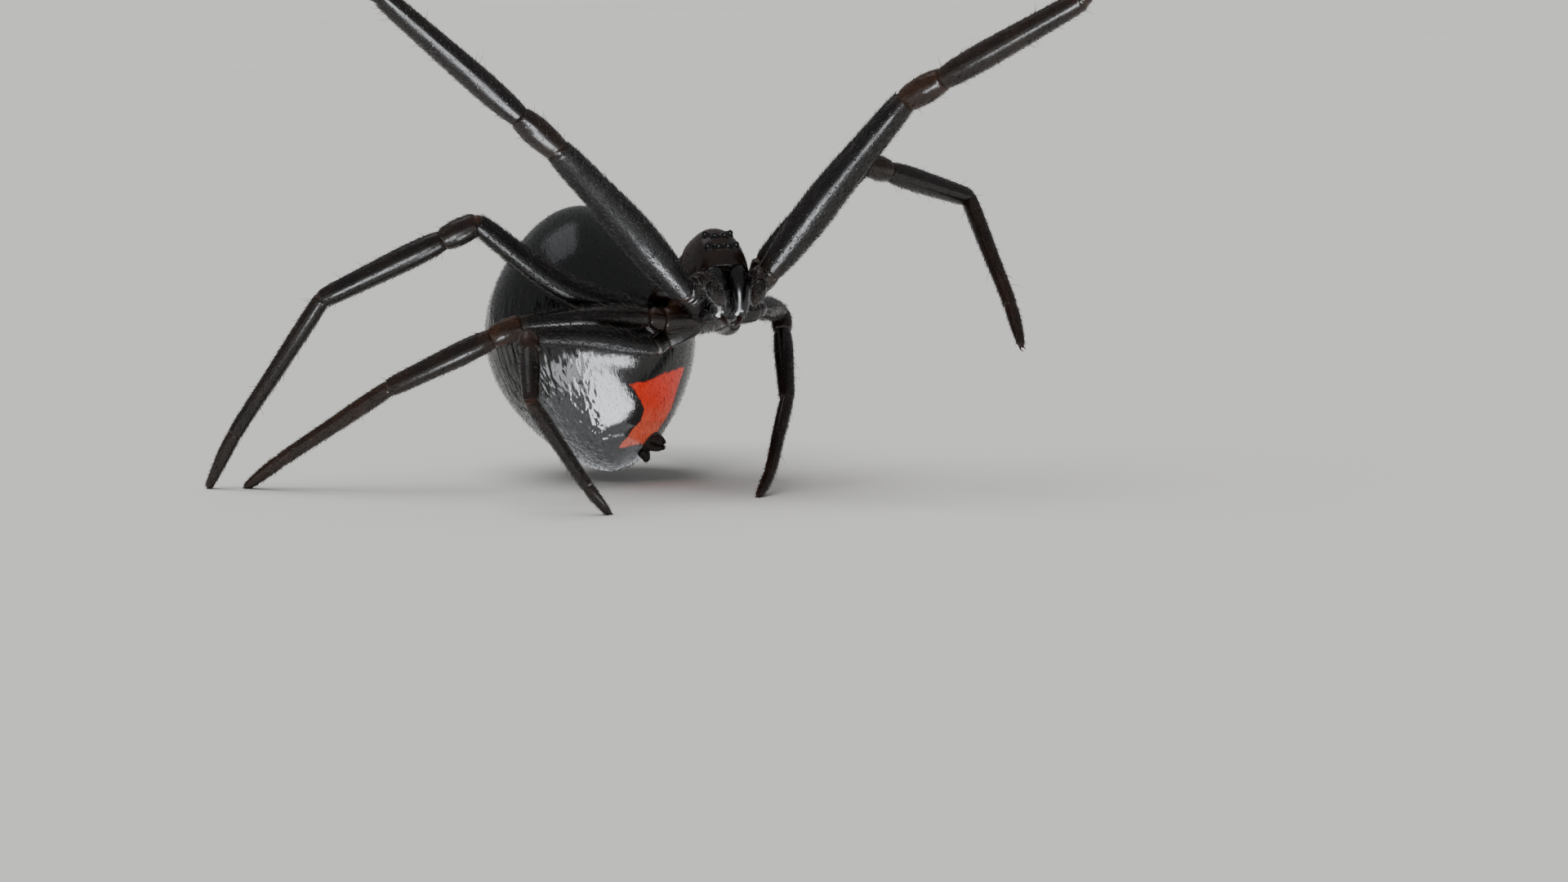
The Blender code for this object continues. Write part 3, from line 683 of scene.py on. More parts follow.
@dataclass
class Carapace:
    """The shield over the head and thorax: a high narrow head, a pit at the middle and furrows from it."""

    stations: tuple[tuple[float, float, float, float], ...] = (
        (0.085, 0.16, 0.22, 0.02),
        (0.05, 0.34, 0.46, 0.04),
        (-0.02, 0.50, 0.72, 0.07),
        (-0.12, 0.64, 0.98, 0.12),
        (-0.26, 0.78, 1.22, 0.22),
        (-0.48, 0.90, 1.42, 0.40),
        (-0.85, 1.04, 1.55, 0.62),
        (-1.35, 1.26, 1.48, 0.66),
        (-1.85, 1.50, 1.14, 0.54),
        (-2.40, 1.68, 0.80, 0.38),
        (-2.95, 1.72, 0.68, 0.28),
        (-3.42, 1.54, 0.62, 0.24),
        (-3.82, 1.12, 0.48, 0.18),
        (-4.04, 0.62, 0.28, 0.12),
    )
    margin: float = 0.56
    ends: tuple[float, float] = (0.10, -4.14)
    boxy: float = 0.94
    furrows: tuple[tuple[float, float, float, float, float, float], ...] = (
        (-2.30, 0.10, -1.30, 1.15, 0.075, 0.15),
        (-2.55, 0.18, -2.25, 1.50, 0.035, 0.12),
        (-2.70, 0.18, -3.00, 1.50, 0.035, 0.12),
        (-2.85, 0.12, -3.60, 0.95, 0.035, 0.12),
    )
    pit: tuple[float, float, float] = (-2.62, 0.24, 0.10)
    rows: int = 170
    sides: int = 144
    eyes: tuple[tuple[float, float, float, float], ...] = (
        (11.0, 14.0, 0.20, 0.10),
        (33.0, 17.0, 0.21, 0.11),
        (13.0, 42.0, 0.20, 0.10),
        (40.0, 48.0, 0.20, 0.12),
    )
    eye_centre: tuple[float, float, float] = (-0.85, 0.0, 1.00)

    def shell(self) -> Shell:
        """The shield's skin.

        Each ring is half width * cos a aside and height * sin a up, or depth * sin a below the edge, with the
        four sizes carried smoothly through the stations. Round the head the cosine is raised to the power
        boxy, which squares the brow. Furrows and the pit are bell-shaped cuts.

        Returns:
            The closed skin, raised and cut by its relief.
        """
        table = spline(np.array(self.stations), self.rows)
        angle = np.linspace(0, 2 * math.pi, self.sides, endpoint=False)
        back, half_width, height, depth = (table[:, k : k + 1] for k in range(4))
        square = 1 - (1 - self.boxy) * smoothstep(-2.0, -1.0, back) * (np.sin(angle) > 0)
        aside = half_width * np.sign(np.cos(angle)) * np.abs(np.cos(angle)) ** square
        rise = np.where(np.sin(angle) > 0, height, depth) * np.sin(angle)
        local = np.stack((back + 0 * aside, aside, self.margin + rise), axis=-1)
        ends = [BODY.place((end, 0.0, self.margin)) for end in self.ends]
        skin = Shell(BODY.place(local), ends[0], ends[1])
        return skin.raised(self.relief(local, angle))

    def relief(self, local: np.ndarray, angle: np.ndarray) -> np.ndarray:
        """Heights in millimetres: each furrow is a bell of the distance to its line, and the edge is a rim."""
        upper = smoothstep(0.0, 0.35, np.sin(angle))[None, :]
        ahead, aside = local[..., 0], np.abs(local[..., 1])
        height = np.zeros(ahead.shape)
        for a0, b0, a1, b1, depth, width in self.furrows:
            step = np.array((a1 - a0, b1 - b0))
            t = np.clip(((ahead - a0) * step[0] + (aside - b0) * step[1]) / (step @ step), 0, 1)
            gap = np.hypot(ahead - a0 - t * step[0], aside - b0 - t * step[1])
            height -= depth * bell(gap, width)
        place, long_half, wide_half = self.pit
        height -= 0.20 * np.exp(-(((ahead - place) / long_half) ** 2) - (aside / wide_half) ** 2)
        rim = 0.035 * bell(np.sin(angle) - 0.05, 0.10)[None, :] * smoothstep(1.5, 2.2, -ahead)
        return height * upper + rim

    def eye_seats(self, skin: Shell) -> list[tuple[np.ndarray, np.ndarray, float, float]]:
        """Where the eight eyes sit: the skin's point nearest each direction, its normal, the eye's width and height."""
        centre = BODY.place(self.eye_centre)
        way = unit(skin.rings - centre)
        normals = skin.normals()
        forward, left, up = BODY.axes()
        seats = []
        for aside, rise, width, high in self.eyes:
            for side in (-1, 1):
                turn, lift = math.radians(aside * side), math.radians(rise)
                look = (forward * math.cos(turn) + left * math.sin(turn)) * math.cos(lift) + up * math.sin(lift)
                spot = np.unravel_index(np.argmax(way @ look), way.shape[:2])
                seats.append((skin.rings[spot], normals[spot], width, high))
        return seats

    def build(self, shield: bpy.types.Material, lens: bpy.types.Material) -> Shell:
        """Makes the shield and the eyes on their low mounds, and returns the shield's skin."""
        skin = self.shell()
        seats = self.eye_seats(skin)
        mounds, lenses = [], []
        for place, normal, width, high in seats:
            side = unit(np.cross(normal, (0.0, 0.0, 1.0)))
            axes = np.array((normal, side, np.cross(normal, side)))
            mounds.append(ball_shell(place - normal * 0.04, (high, width * 0.88, width * 0.88), axes, 14, 32))
            lens_place = place + normal * (high - 0.07)
            lenses.append(ball_shell(lens_place, (0.10, width * 0.50, width * 0.50), axes, 20, 36))
        skin.marks["warm"] = np.full(skin.rings.shape[:2], 0.22)
        skin_piece("carapace", [skin, *mounds], shield, ("cephalothorax",))
        skin_piece("eyes", lenses, lens)
        return skin


@dataclass
class UnderBody:
    """Below the shield: the soft flank, the breast plate, the lip between two mouth lobes, and the waist."""

    flank_centre: tuple[float, float, float] = (-2.35, 0.0, 0.10)
    flank_size: tuple[float, float, float] = (1.55, 1.30, 0.66)
    plate_edge: tuple[tuple[float, float], ...] = (
        (-1.28, 0.34), (-1.40, 0.66), (-1.75, 0.86), (-2.20, 0.88), (-2.70, 0.72), (-3.15, 0.42), (-3.42, 0.12)
    )
    plate_level: float = -0.50
    plate_dome: float = 0.20
    lobe_root: tuple[float, float, float] = (-1.75, 0.42, -0.32)
    lobe_tip: tuple[float, float, float] = (-1.02, 0.22, -0.74)
    lip_place: tuple[float, float, float] = (-1.28, 0.0, -0.62)
    lip_size: tuple[float, float, float] = (0.26, 0.22, 0.15)
    waist_front: tuple[float, float, float] = (-3.70, 0.0, 0.30)

    def plate(self) -> Shell:
        """The breast plate: rings of half width * cos a by dome * sin a, along its outline from the front."""
        edge = spline(np.array(self.plate_edge), 60)
        angle = np.linspace(0, 2 * math.pi, 64, endpoint=False)
        ahead, half_width = edge[:, :1], edge[:, 1:]
        dome = self.plate_dome * np.sqrt(np.maximum(half_width, 0.05) / 0.88)
        local = np.stack(
            (ahead + 0 * np.cos(angle), half_width * np.cos(angle), self.plate_level + dome * np.sin(angle)), axis=-1
        )
        ends = [BODY.place((e[0], 0.0, self.plate_level)) for e in (edge[0] + (0.05, 0), edge[-1] - (0.06, 0))]
        return Shell(BODY.place(local), ends[0], ends[1])

    def build(self, shield: bpy.types.Material, soft: bpy.types.Material, abdomen: "Abdomen") -> list[Shell]:
        """Makes the pieces under the shield.

        Args:
            shield: The hard black material.
            soft: The soft skin's material.
            abdomen: The abdomen that the waist joins.

        Returns:
            The skins that carry bristles: the breast plate and the two mouth lobes.
        """
        axes = BODY.axes()
        plate = self.plate()
        flank = ball_shell(BODY.place(self.flank_centre), self.flank_size, axes, 48, 72)
        lip = ball_shell(BODY.place(self.lip_place), self.lip_size, axes, 20, 32)
        lobes = []
        for side in (-1, 1):
            curve = spline(BODY.place((self.lobe_root, (-1.36, 0.40, -0.58), self.lobe_tip), side), 30)
            lobes.append(tube_shell(curve, (0.42, 0.54, 0.54, 0.48, 0.34), axes[1], 36, 32, 0.16))
        skin_piece("breast_plate", [plate, lip, *lobes], shield)
        skin_piece("flank_skin", [flank], soft)
        start = BODY.place(self.waist_front)
        end = abdomen.inside(0.46)
        curve = spline(np.array((start, BODY.place((-4.5, 0.0, 0.24)), start * 0.2 + end * 0.8, end)), 60)
        waist = tube_shell(curve, (0.80, 0.66, 0.60, 0.62, 0.80, 1.0), axes[2], 60, 40)
        ridge = 0.012 * np.sin(waist.marks["run"] * length_of(curve) / 0.11 * 2 * math.pi)
        skin_piece("waist", [waist.raised(ridge)], shield, ("pedicel",))
        return [plate, *lobes]


@dataclass
class Jaws:
    """The two short jaws under the forehead, each with a small curved fang."""

    base: tuple[float, float, float] = (-0.36, 0.35, 0.62)
    middle: tuple[float, float, float] = (-0.20, 0.37, -0.15)
    tip: tuple[float, float, float] = (-0.42, 0.32, -1.10)
    widths: tuple[float, ...] = (0.58, 0.70, 0.74, 0.73, 0.69, 0.63, 0.55, 0.42)
    fang: tuple[tuple[float, float, float], ...] = ((-0.44, 0.34, -0.98), (-0.32, 0.24, -1.26), (-0.44, 0.09, -1.38))
    fang_widths: tuple[float, ...] = (0.22, 0.19, 0.13, 0.05)

    def build(self, side: int, shield: bpy.types.Material, horn: bpy.types.Material) -> Shell:
        """Makes one jaw and its fang, and returns the jaw's skin.

        Args:
            side: 1 for the left jaw, -1 for the right one.
            shield: The hard black material.
            horn: The fang's material.

        Returns:
            The jaw's closed skin.
        """
        name = "left" if side > 0 else "right"
        ahead = BODY.axes()[0]
        curve = spline(BODY.place((self.base, self.middle, self.tip), side), 40)
        jaw = tube_shell(curve, self.widths, ahead, 70, 56, 0.22)
        fang = tube_shell(spline(BODY.place(self.fang, side), 30), self.fang_widths, ahead, 40, 20, 0.03)
        skin_piece(f"jaw_{name}", [jaw], shield, (f"chelicera_{name}",))
        skin_piece(f"fang_{name}", [fang], horn)
        return jaw


@dataclass
class Palps:
    """The two feelers beside the jaws, each of four short lengths with a claw."""

    lengths: tuple[tuple[tuple[tuple[float, float, float], ...], tuple[float, ...]], ...] = (
        (((-1.40, 0.60, -0.25), (-0.80, 0.84, -0.12), (-0.10, 0.90, 0.00)), (0.44, 0.42, 0.38, 0.36)),
        (((-0.14, 0.89, 0.00), (0.14, 0.94, 0.11), (0.34, 0.95, 0.10)), (0.36, 0.42, 0.42, 0.36)),
        (((0.30, 0.95, 0.12), (0.48, 0.92, -0.04), (0.57, 0.85, -0.30)), (0.36, 0.44, 0.44, 0.38)),
        (((0.56, 0.86, -0.26), (0.60, 0.74, -0.56), (0.50, 0.54, -1.00)), (0.38, 0.46, 0.44, 0.36, 0.20)),
    )

    def build(self, side: int, brown: bpy.types.Material, horn: bpy.types.Material) -> list[Shell]:
        """Makes one feeler and its claw, and returns the skins of its lengths.

        Args:
            side: 1 for the left feeler, -1 for the right one.
            brown: The cuticle's material.
            horn: The claw's material.

        Returns:
            The closed skins, from the base outwards.
        """
        name = "left" if side > 0 else "right"
        up = BODY.axes()[2]
        aside = BODY.axes()[1]
        skins = []
        for corners, widths in self.lengths:
            curve = spline(BODY.place(corners, side), 30)
            skin = tube_shell(curve, widths, up * 0.4 + aside, 34, 28, 0.10)
            skin.marks["warm"] = 0.15 + 0.3 * bell(skin.marks["run"] - 1.0, 0.25)
            skin.marks["sockets"] = np.full(skin.rings.shape[:2], 0.8)
            skins.append(skin)
        claw = spline(BODY.place(((0.50, 0.54, -0.98), (0.50, 0.50, -1.10), (0.42, 0.46, -1.18)), side), 16)
        skin_piece(f"palp_{name}", skins, brown, (f"palp_{name}",))
        skin_piece(f"palp_claw_{name}", [tube_shell(claw, (0.07, 0.06, 0.02), aside, 16, 10, 0.02)], horn)
        return skins


@dataclass
class Abdomen:
    """The abdomen: a full egg, narrower at both ends, with the belly facing right and ahead."""

    top: tuple[float, float, float] = (-7.09, 7.00, 9.06)
    bottom: tuple[float, float, float] = (-5.57, 5.45, 0.36)
    radius: float = 3.53
    taper: float = 0.065
    narrow: float = 0.24
    bow: float = 0.135
    belly_turn: float = 50.0
    flatten: float = 0.05
    rows: int = 220
    sides: int = 300

    def frame(self) -> np.ndarray:
        """Rows for the axis downwards, the way the belly faces, and the flank square to both."""
        axis = unit(np.array(self.bottom) - np.array(self.top))
        turn = math.radians(self.belly_turn)
        belly = np.array((math.sin(turn), -math.cos(turn), 0.0))
        belly = unit(belly - axis * (belly @ axis))
        return np.array((axis, belly, np.cross(axis, belly)))

    def inside(self, share: float) -> np.ndarray:
        """A place on the axis, at a share of the way down it."""
        return np.array(self.top) * (1 - share) + np.array(self.bottom) * share

    def shell(self) -> Shell:
        """The skin: rings of radius * sqrt(1 - s^2) * (1 - taper * s) * (1 - narrow * s^2), s from -1 at the top.

        The centres bow away from the belly by bow * (1 - s^2). The marks give the hourglass.

        Returns:
            The closed skin, with its relief and marks.
        """
        axis, belly, flank = self.frame()
        length = float(np.linalg.norm(np.array(self.bottom) - np.array(self.top)))
        polar = np.linspace(0, math.pi, self.rows + 2)[1:-1, None]
        angle = np.linspace(0, 2 * math.pi, self.sides, endpoint=False)[None, :]
        s = -np.cos(polar)
        size = self.radius * np.sqrt(1 - s * s) * (1 - self.taper * s) * (1 - self.narrow * s * s)
        centre = self.inside((s + 1) / 2) - belly * self.bow * (1 - s * s)
        flat = 1 - self.flatten * np.clip(np.cos(angle), 0, 1) ** 2
        spokes = belly * (np.cos(angle) * flat)[..., None] + flank * np.sin(angle)[..., None]
        rings = centre[:, None, :] + spokes * size[..., None]
        skin = Shell(rings, np.array(self.top), np.array(self.bottom))
        across = ((angle + math.pi) % (2 * math.pi) - math.pi) * size
        down = (s + 1) / 2 * length + 0 * across
        skin.marks["hourglass"] = hourglass(across, down)
        # The hourglass's lower end, where the red pales into a painted sheen.
        skin.marks["lower"] = smoothstep(6.9, 7.9, down)
        turn = np.abs(across) / size
        side = smoothstep(0.70, 1.10, turn) * (1 - 0.6 * smoothstep(1.7, 2.4, turn))
        skin.marks["folded"] = 0.10 + 0.90 * side * smoothstep(2.4, 4.2, down)
        return skin.raised(self.relief(s, angle, np.abs(across), down))

    def relief(self, s: np.ndarray, angle: np.ndarray, across: np.ndarray, down: np.ndarray) -> np.ndarray:
        """Heights in millimetres: broad soft dents, muscle pits on the back, and a fold before the spinnerets."""
        height = 0.025 * np.sin(3.1 * angle + 2.0 * s) * np.cos(2.3 * s + 0.7)
        height = height + 0.018 * np.sin(7.0 * angle - 3.0 * s) * (1 - s * s)
        back = math.pi * self.radius - across
        for place, aside, deep in ((2.6, 0.75, 0.05), (4.3, 0.95, 0.05), (5.9, 0.8, 0.035)):
            height = height - deep * bell(np.hypot(down - place, back - aside), 0.22)
        return height - 0.05 * bell(down - 7.85, 0.16) * smoothstep(2.2, 1.0, across)

    def build(self, skin_finish: bpy.types.Material) -> Shell:
        """Makes the abdomen and returns its skin."""
        skin = self.shell()
        skin_piece("abdomen_skin", [skin], skin_finish, ("abdomen",))
        return skin


def hourglass(across: np.ndarray, down: np.ndarray) -> np.ndarray:
    """How far inside the hourglass a place is, in millimetres: the least of its distances to the four edges.

    The two sides run through a few places down the belly, and the upper edge slants.

    Args:
        across: Distance from the belly's midline, towards the spider's right.
        down: Distance below the abdomen's top.

    Returns:
        The distance inside, negative outside.
    """
    right = np.interp(down, (6.30, 6.71, 6.98, 7.21, 7.40, 7.58, 7.87, 8.32), (1.56, 1.07, 0.80, 0.60, 0.55, 0.59, 0.74, 1.02))
    left = np.interp(down, (5.95, 6.40, 6.92, 7.32, 7.78, 8.07, 8.32), (1.22, 1.04, 0.92, 0.88, 0.80, 0.56, 0.22))
    upper = 6.20 + 0.17 * across + 0.03 * np.sin(4.0 * across)
    return np.minimum(np.minimum(right - across, across + left), np.minimum(down - upper, 8.33 - down))


@dataclass
class Spinnerets:
    """Six short spinnerets round a low mound at the abdomen's end, with the small cone behind them."""

    mound: tuple[float, float, float] = (0.24, 0.46, 0.44)
    ring: float = 0.24
    reach: float = 0.46
    aside: float = -0.38
    widths: tuple[float, ...] = (0.28, 0.29, 0.26, 0.20, 0.12)

    def build(self, abdomen: Abdomen, grey: bpy.types.Material) -> tuple[list[Shell], np.ndarray]:
        """Makes the spinnerets.

        Args:
            abdomen: The abdomen that they sit on.
            grey: Their material.

        Returns:
            The skins of the six spinnerets, and the way that they point.
        """
        axis, belly, flank = abdomen.frame()
        facing = unit(belly + flank * self.aside + axis * 0.75)
        low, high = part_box("spinnerets")
        seat = np.array((low + high) / 2) / MM + ORIGIN - facing * 0.26
        aside = unit(np.cross(facing, (0.0, 0.0, 1.0)))
        over = np.cross(facing, aside)
        skins = []
        for turn, size in ((30, 1.1), (90, 0.75), (150, 1.1), (210, 1.0), (270, 0.8), (330, 1.0)):
            angle = math.radians(turn)
            away = aside * math.cos(angle) + over * math.sin(angle)
            foot = seat + away * self.ring * size
            tip = foot + unit(facing - away * 0.20) * self.reach * size
            curve = spline(np.array((foot - facing * 0.1, (foot + tip) / 2 + away * 0.03, tip)), 24)
            skins.append(tube_shell(curve, np.array(self.widths) * size, aside, 30, 24, 0.07))
        mound = ball_shell(seat - facing * 0.05, self.mound, np.array((facing, aside, over)), 24, 40)
        behind = unit(axis - facing * (axis @ facing))
        cone_foot = seat + behind * 0.44 - facing * 0.15
        cone = tube_shell(
            spline(np.array((cone_foot, cone_foot + facing * 0.2 + behind * 0.15, cone_foot + (facing + behind) * 0.3)), 20),
            (0.42, 0.38, 0.29, 0.15), aside, 26, 28, 0.08,
        )
        skin_piece("spinneret_cluster", [mound, *skins, cone], grey, ("spinnerets",))
        return [*skins, cone], facing


@dataclass(frozen=True)
class LegShape:
    """What all legs share: the widths down each length for the first leg, and each pair's girth."""

    widths: dict[Part, tuple[float, ...]] = field(
        default_factory=lambda: {
            Part.COXA: (0.70, 0.88, 0.93, 0.93, 0.86),
            Part.TROCHANTER: (0.72, 0.84, 0.86, 0.82, 0.76),
            Part.FEMUR: (0.72, 0.92, 1.06, 1.15, 1.16, 1.12, 1.05, 0.97, 0.92, 0.88, 0.74),
            Part.PATELLA: (0.68, 0.84, 0.90, 0.92, 0.84, 0.70),
            Part.TIBIA: (0.66, 0.80, 0.85, 0.86, 0.83, 0.80, 0.77, 0.74, 0.71, 0.60),
            Part.METATARSUS: (0.58, 0.61, 0.60, 0.57, 0.54, 0.52, 0.51),
            Part.TARSUS: (0.46, 0.49, 0.47, 0.42, 0.35, 0.26),
        }
    )
    coxa_girth: tuple[float, ...] = (0.90, 0.88, 0.82, 0.90)
    hip_girth: tuple[float, ...] = (1.00, 0.86, 0.80, 0.90)
    femur_girth: tuple[float, ...] = (1.00, 0.72, 0.64, 0.78)
    shin_girth: tuple[float, ...] = (1.00, 0.88, 0.76, 0.92)
    coxa_centre: tuple[float, float, float] = (-2.30, 0.0, -0.36)
    coxa_root: float = 0.45
    patella_share: float = 0.22
    tarsus_share: float = 0.72
    foot_arch: float = 0.16
    overlap: float = 0.10
    row_mm: float = 0.10
    sides: int = 36
    density: dict[Part, float] = field(
        default_factory=lambda: {
            Part.COXA: 40.0,
            Part.TROCHANTER: 50.0,
            Part.FEMUR: 210.0,
            Part.PATELLA: 80.0,
            Part.TIBIA: 110.0,
            Part.METATARSUS: 160.0,
            Part.TARSUS: 220.0,
        }
    )
    styles: dict[Part, HairStyle] = field(
        default_factory=lambda: {
            Part.COXA: HairStyle(0.16),
            Part.TROCHANTER: HairStyle(0.16),
            Part.FEMUR: HairStyle(0.24, lift=26.0),
            Part.PATELLA: HairStyle(0.20, lift=26.0),
            Part.TIBIA: HairStyle(0.20, lift=24.0),
            Part.METATARSUS: HairStyle(0.20, lift=26.0),
            Part.TARSUS: HairStyle(0.18, lift=30.0),
        }
    )
    warmth: dict[Part, float] = field(
        default_factory=lambda: {
            Part.COXA: 0.10,
            Part.TROCHANTER: 0.10,
            Part.FEMUR: 0.05,
            Part.PATELLA: 0.50,
            Part.TIBIA: 0.20,
            Part.METATARSUS: 0.40,
            Part.TARSUS: 0.60,
        }
    )
    sockets: dict[Part, float] = field(
        default_factory=lambda: {
            Part.COXA: 0.5,
            Part.TROCHANTER: 0.5,
            Part.FEMUR: 1.6,
            Part.PATELLA: 0.4,
            Part.TIBIA: 0.35,
            Part.METATARSUS: 0.5,
            Part.TARSUS: 0.7,
        }
    )

    def girth(self, part: Part, pair: int) -> float:
        """How stout a length is in one pair of legs, next to the first pair's sizes."""
        table = {Part.COXA: self.coxa_girth, Part.TROCHANTER: self.hip_girth, Part.FEMUR: self.femur_girth}
        return table.get(part, self.shin_girth)[pair - 1]


SHAPE = LegShape()


@dataclass
class Leg:
    """One leg in its pose: its coxa's turn, lift and reach, then hip, bow, knee, ankle and toe."""

    name: str
    pair: int
    side: int
    coxa: tuple[float, float, float]
    hip: tuple[float, float, float]
    arch: float
    knee: tuple[float, float, float]
    ankle: tuple[float, float, float]
    toe: tuple[float, float, float]
    warmth: float = 0.6
    fuzz: float = 1.0

    def curves(self) -> dict[Part, np.ndarray]:
        """The centre line of each length, by the same rules as the solids."""
        hip, knee, ankle, toe = (np.array(p) for p in (self.hip, self.knee, self.ankle, self.toe))
        turn, rise = (math.radians(angle) for angle in self.coxa[:2])
        forward, left, up = BODY.axes()
        flat = forward * math.cos(turn) + left * self.side * math.sin(turn)
        outwards = flat * math.cos(rise) + up * math.sin(rise)
        centre = BODY.place(SHAPE.coxa_centre)
        coxa_end = centre + outwards * self.coxa[2]
        root = centre + outwards * SHAPE.coxa_root
        hips = spline(np.array((root, (root + coxa_end) / 2, coxa_end, hip)), 91)
        thigh = spline(np.array((hip, (hip + knee) / 2 + (0, 0, self.arch), knee)), 80)
        patella_end = knee * (1 - SHAPE.patella_share) + ankle * SHAPE.patella_share
        shin, foot = unit(ankle - knee), unit(toe - ankle)
        turn_way = unit(shin + foot)
        bend = unit(turn_way - foot * (turn_way @ foot)) * SHAPE.foot_arch
        heel = ankle * (1 - SHAPE.tarsus_share) + toe * SHAPE.tarsus_share + bend
        feet = spline(np.array((ankle, (ankle + heel) / 2, heel, toe)), 91)
        return {
            Part.COXA: hips[:61],
            Part.TROCHANTER: hips[60:],
            Part.FEMUR: thigh,
            Part.PATELLA: np.linspace(knee, patella_end, 30),
            Part.TIBIA: np.linspace(patella_end, ankle, 60),
            Part.METATARSUS: feet[:61],
            Part.TARSUS: feet[60:],
        }

    def bend_axis(self) -> np.ndarray:
        """A direction square to the leg's plane, which is never along any of its lengths."""
        hip, knee, ankle, toe = (np.array(p) for p in (self.hip, self.knee, self.ankle, self.toe))
        square = unit(np.cross(knee - hip, ankle - knee))
        second = unit(np.cross(ankle - knee, toe - ankle))
        return unit(square + second * (1.0 if square @ second > 0 else -1.0))

    def skins(self) -> dict[Part, Shell]:
        """The closed skin of each length, which reaches a little into the next so that no gap shows."""
        made = {}
        square = self.bend_axis()
        for part, curve in self.curves().items():
            ends = [unit(curve[1] - curve[0]), unit(curve[-1] - curve[-2])]
            out = 0.0 if part is Part.TARSUS else SHAPE.overlap
            long = np.vstack((curve[0] - ends[0] * SHAPE.overlap, curve, curve[-1] + ends[1] * out))
            rows = int(length_of(long) / SHAPE.row_mm) + 14
            widths = np.array(SHAPE.widths[part]) * SHAPE.girth(part, self.pair)
            if part is Part.COXA:
                widths = widths * 1.08
            reference = square
            if part in (Part.COXA, Part.TROCHANTER):
                reference = BODY.axes()[2]
            skin = tube_shell(long, widths, reference, rows, SHAPE.sides, 0.16, 1.04)
            run = skin.marks["run"]
            total = length_of(long)
            edge = np.minimum(run, 1 - run) * total
            near = bell(edge, 0.5) if part is not Part.TARSUS else bell(run * total, 0.4)
            skin.marks["warm"] = np.clip((SHAPE.warmth[part] + 0.18 * near) * self.warmth, 0, 1)
            skin.marks["joint"] = 0.10 * bell(edge - 0.06, 0.05)
            skin.marks["sockets"] = np.full(run.shape, SHAPE.sockets[part] * self.fuzz)
            if self.toe[2] == 0.0:
                skin.keep_above(0.012)
            made[part] = skin
        return made

    def knuckles(self) -> list[Shell]:
        """Balls of soft skin that show in the creases between lengths."""
        curves = self.curves()
        balls = []
        for part in (Part.COXA, Part.TROCHANTER, Part.FEMUR, Part.PATELLA, Part.TIBIA, Part.METATARSUS):
            after = Part(part.value + 1)
            here = SHAPE.widths[part][-1] * SHAPE.girth(part, self.pair)
            there = SHAPE.widths[after][0] * SHAPE.girth(after, self.pair)
            size = min(here, there) * 0.47
            along = unit(curves[part][-1] - curves[part][-2])
            side = unit(np.cross(along, (0.3, 0.2, 1.0)))
            axes = np.array((along, side, np.cross(along, side)))
            ball = ball_shell(curves[part][-1], (size, size, size), axes, 12, 24)
            ball.marks["joint"] = np.full(ball.rings.shape[:2], 0.25)
            ball.marks["warm"] = np.full(ball.rings.shape[:2], 0.5)
            balls.append(ball)
        return balls

    def claws(self, curve: np.ndarray) -> list[Shell]:
        """Two upper claws side by side and one small lower claw, curved down past the tip."""
        tip, along = curve[-1], unit(curve[-1] - curve[-5])
        side = self.bend_axis()
        side = unit(side - along * (along @ side))
        down = np.cross(side, along)
        down = down * (-1.0 if down[2] > 0 else 1.0)
        made = []
        for aside, size in ((0.055, 1.0), (-0.055, 1.0), (0.0, 0.6)):
            root = tip - along * 0.10 + side * aside
            corners = (root, root + along * 0.16 * size + side * aside * 0.4, root + (along * 0.24 + down * 0.10) * size)
            skin = tube_shell(spline(np.array(corners), 16), (0.075, 0.06, 0.04, 0.015), side, 16, 10, 0.015)
            if self.toe[2] == 0.0:
                skin.keep_above(0.006)
            made.append(skin)
        return made

    def build(self, black: bpy.types.Material, horn: bpy.types.Material, bristle: bpy.types.Material, seed: int) -> None:
        """Makes the leg's skin, its claws and its coat.

        Args:
            black: The cuticle's material.
            horn: The claws' material.
            bristle: The coat's material.
            seed: What the coat's random draws start from.
        """
        skins = self.skins()
        nodes = [f"{self.name}_{length}" for length in ("femur", "tibia", "foot")]
        skin_piece(f"{self.name}_skin", [*skins.values(), *self.knuckles()], black, nodes)
        claws = self.claws(self.curves()[Part.TARSUS])
        skin_piece(f"{self.name}_claws", claws, horn)
        coat = Coat(np.random.default_rng(seed))
        for part, skin in skins.items():
            cell = (part.value, len(Part))
            edge = np.minimum(skin.marks["run"], 1 - skin.marks["run"]) * length_of(skin.rings.mean(axis=1))
            keep = smoothstep(0.04, 0.22, edge)
            if part is Part.COXA:
                keep = keep * smoothstep(0.35, 0.6, skin.marks["run"])
            fuzz = self.fuzz if part in (Part.FEMUR, Part.METATARSUS) else 1.0
            coat.grow(skin.scatter(coat.rng, SHAPE.density[part] * fuzz, keep), SHAPE.styles[part], cell)
            if part in (Part.PATELLA, Part.TIBIA, Part.METATARSUS):
                long_style = HairStyle(0.40, 0.016, lift=52.0, bend=0.3)
                coat.grow(skin.scatter(coat.rng, 2.5, keep), long_style, cell)
        if self.toe[2] == 0.0:
            coat.keep_above(0.004)
        coat.piece(f"{self.name}_coat", bristle, Slot.BLACK)


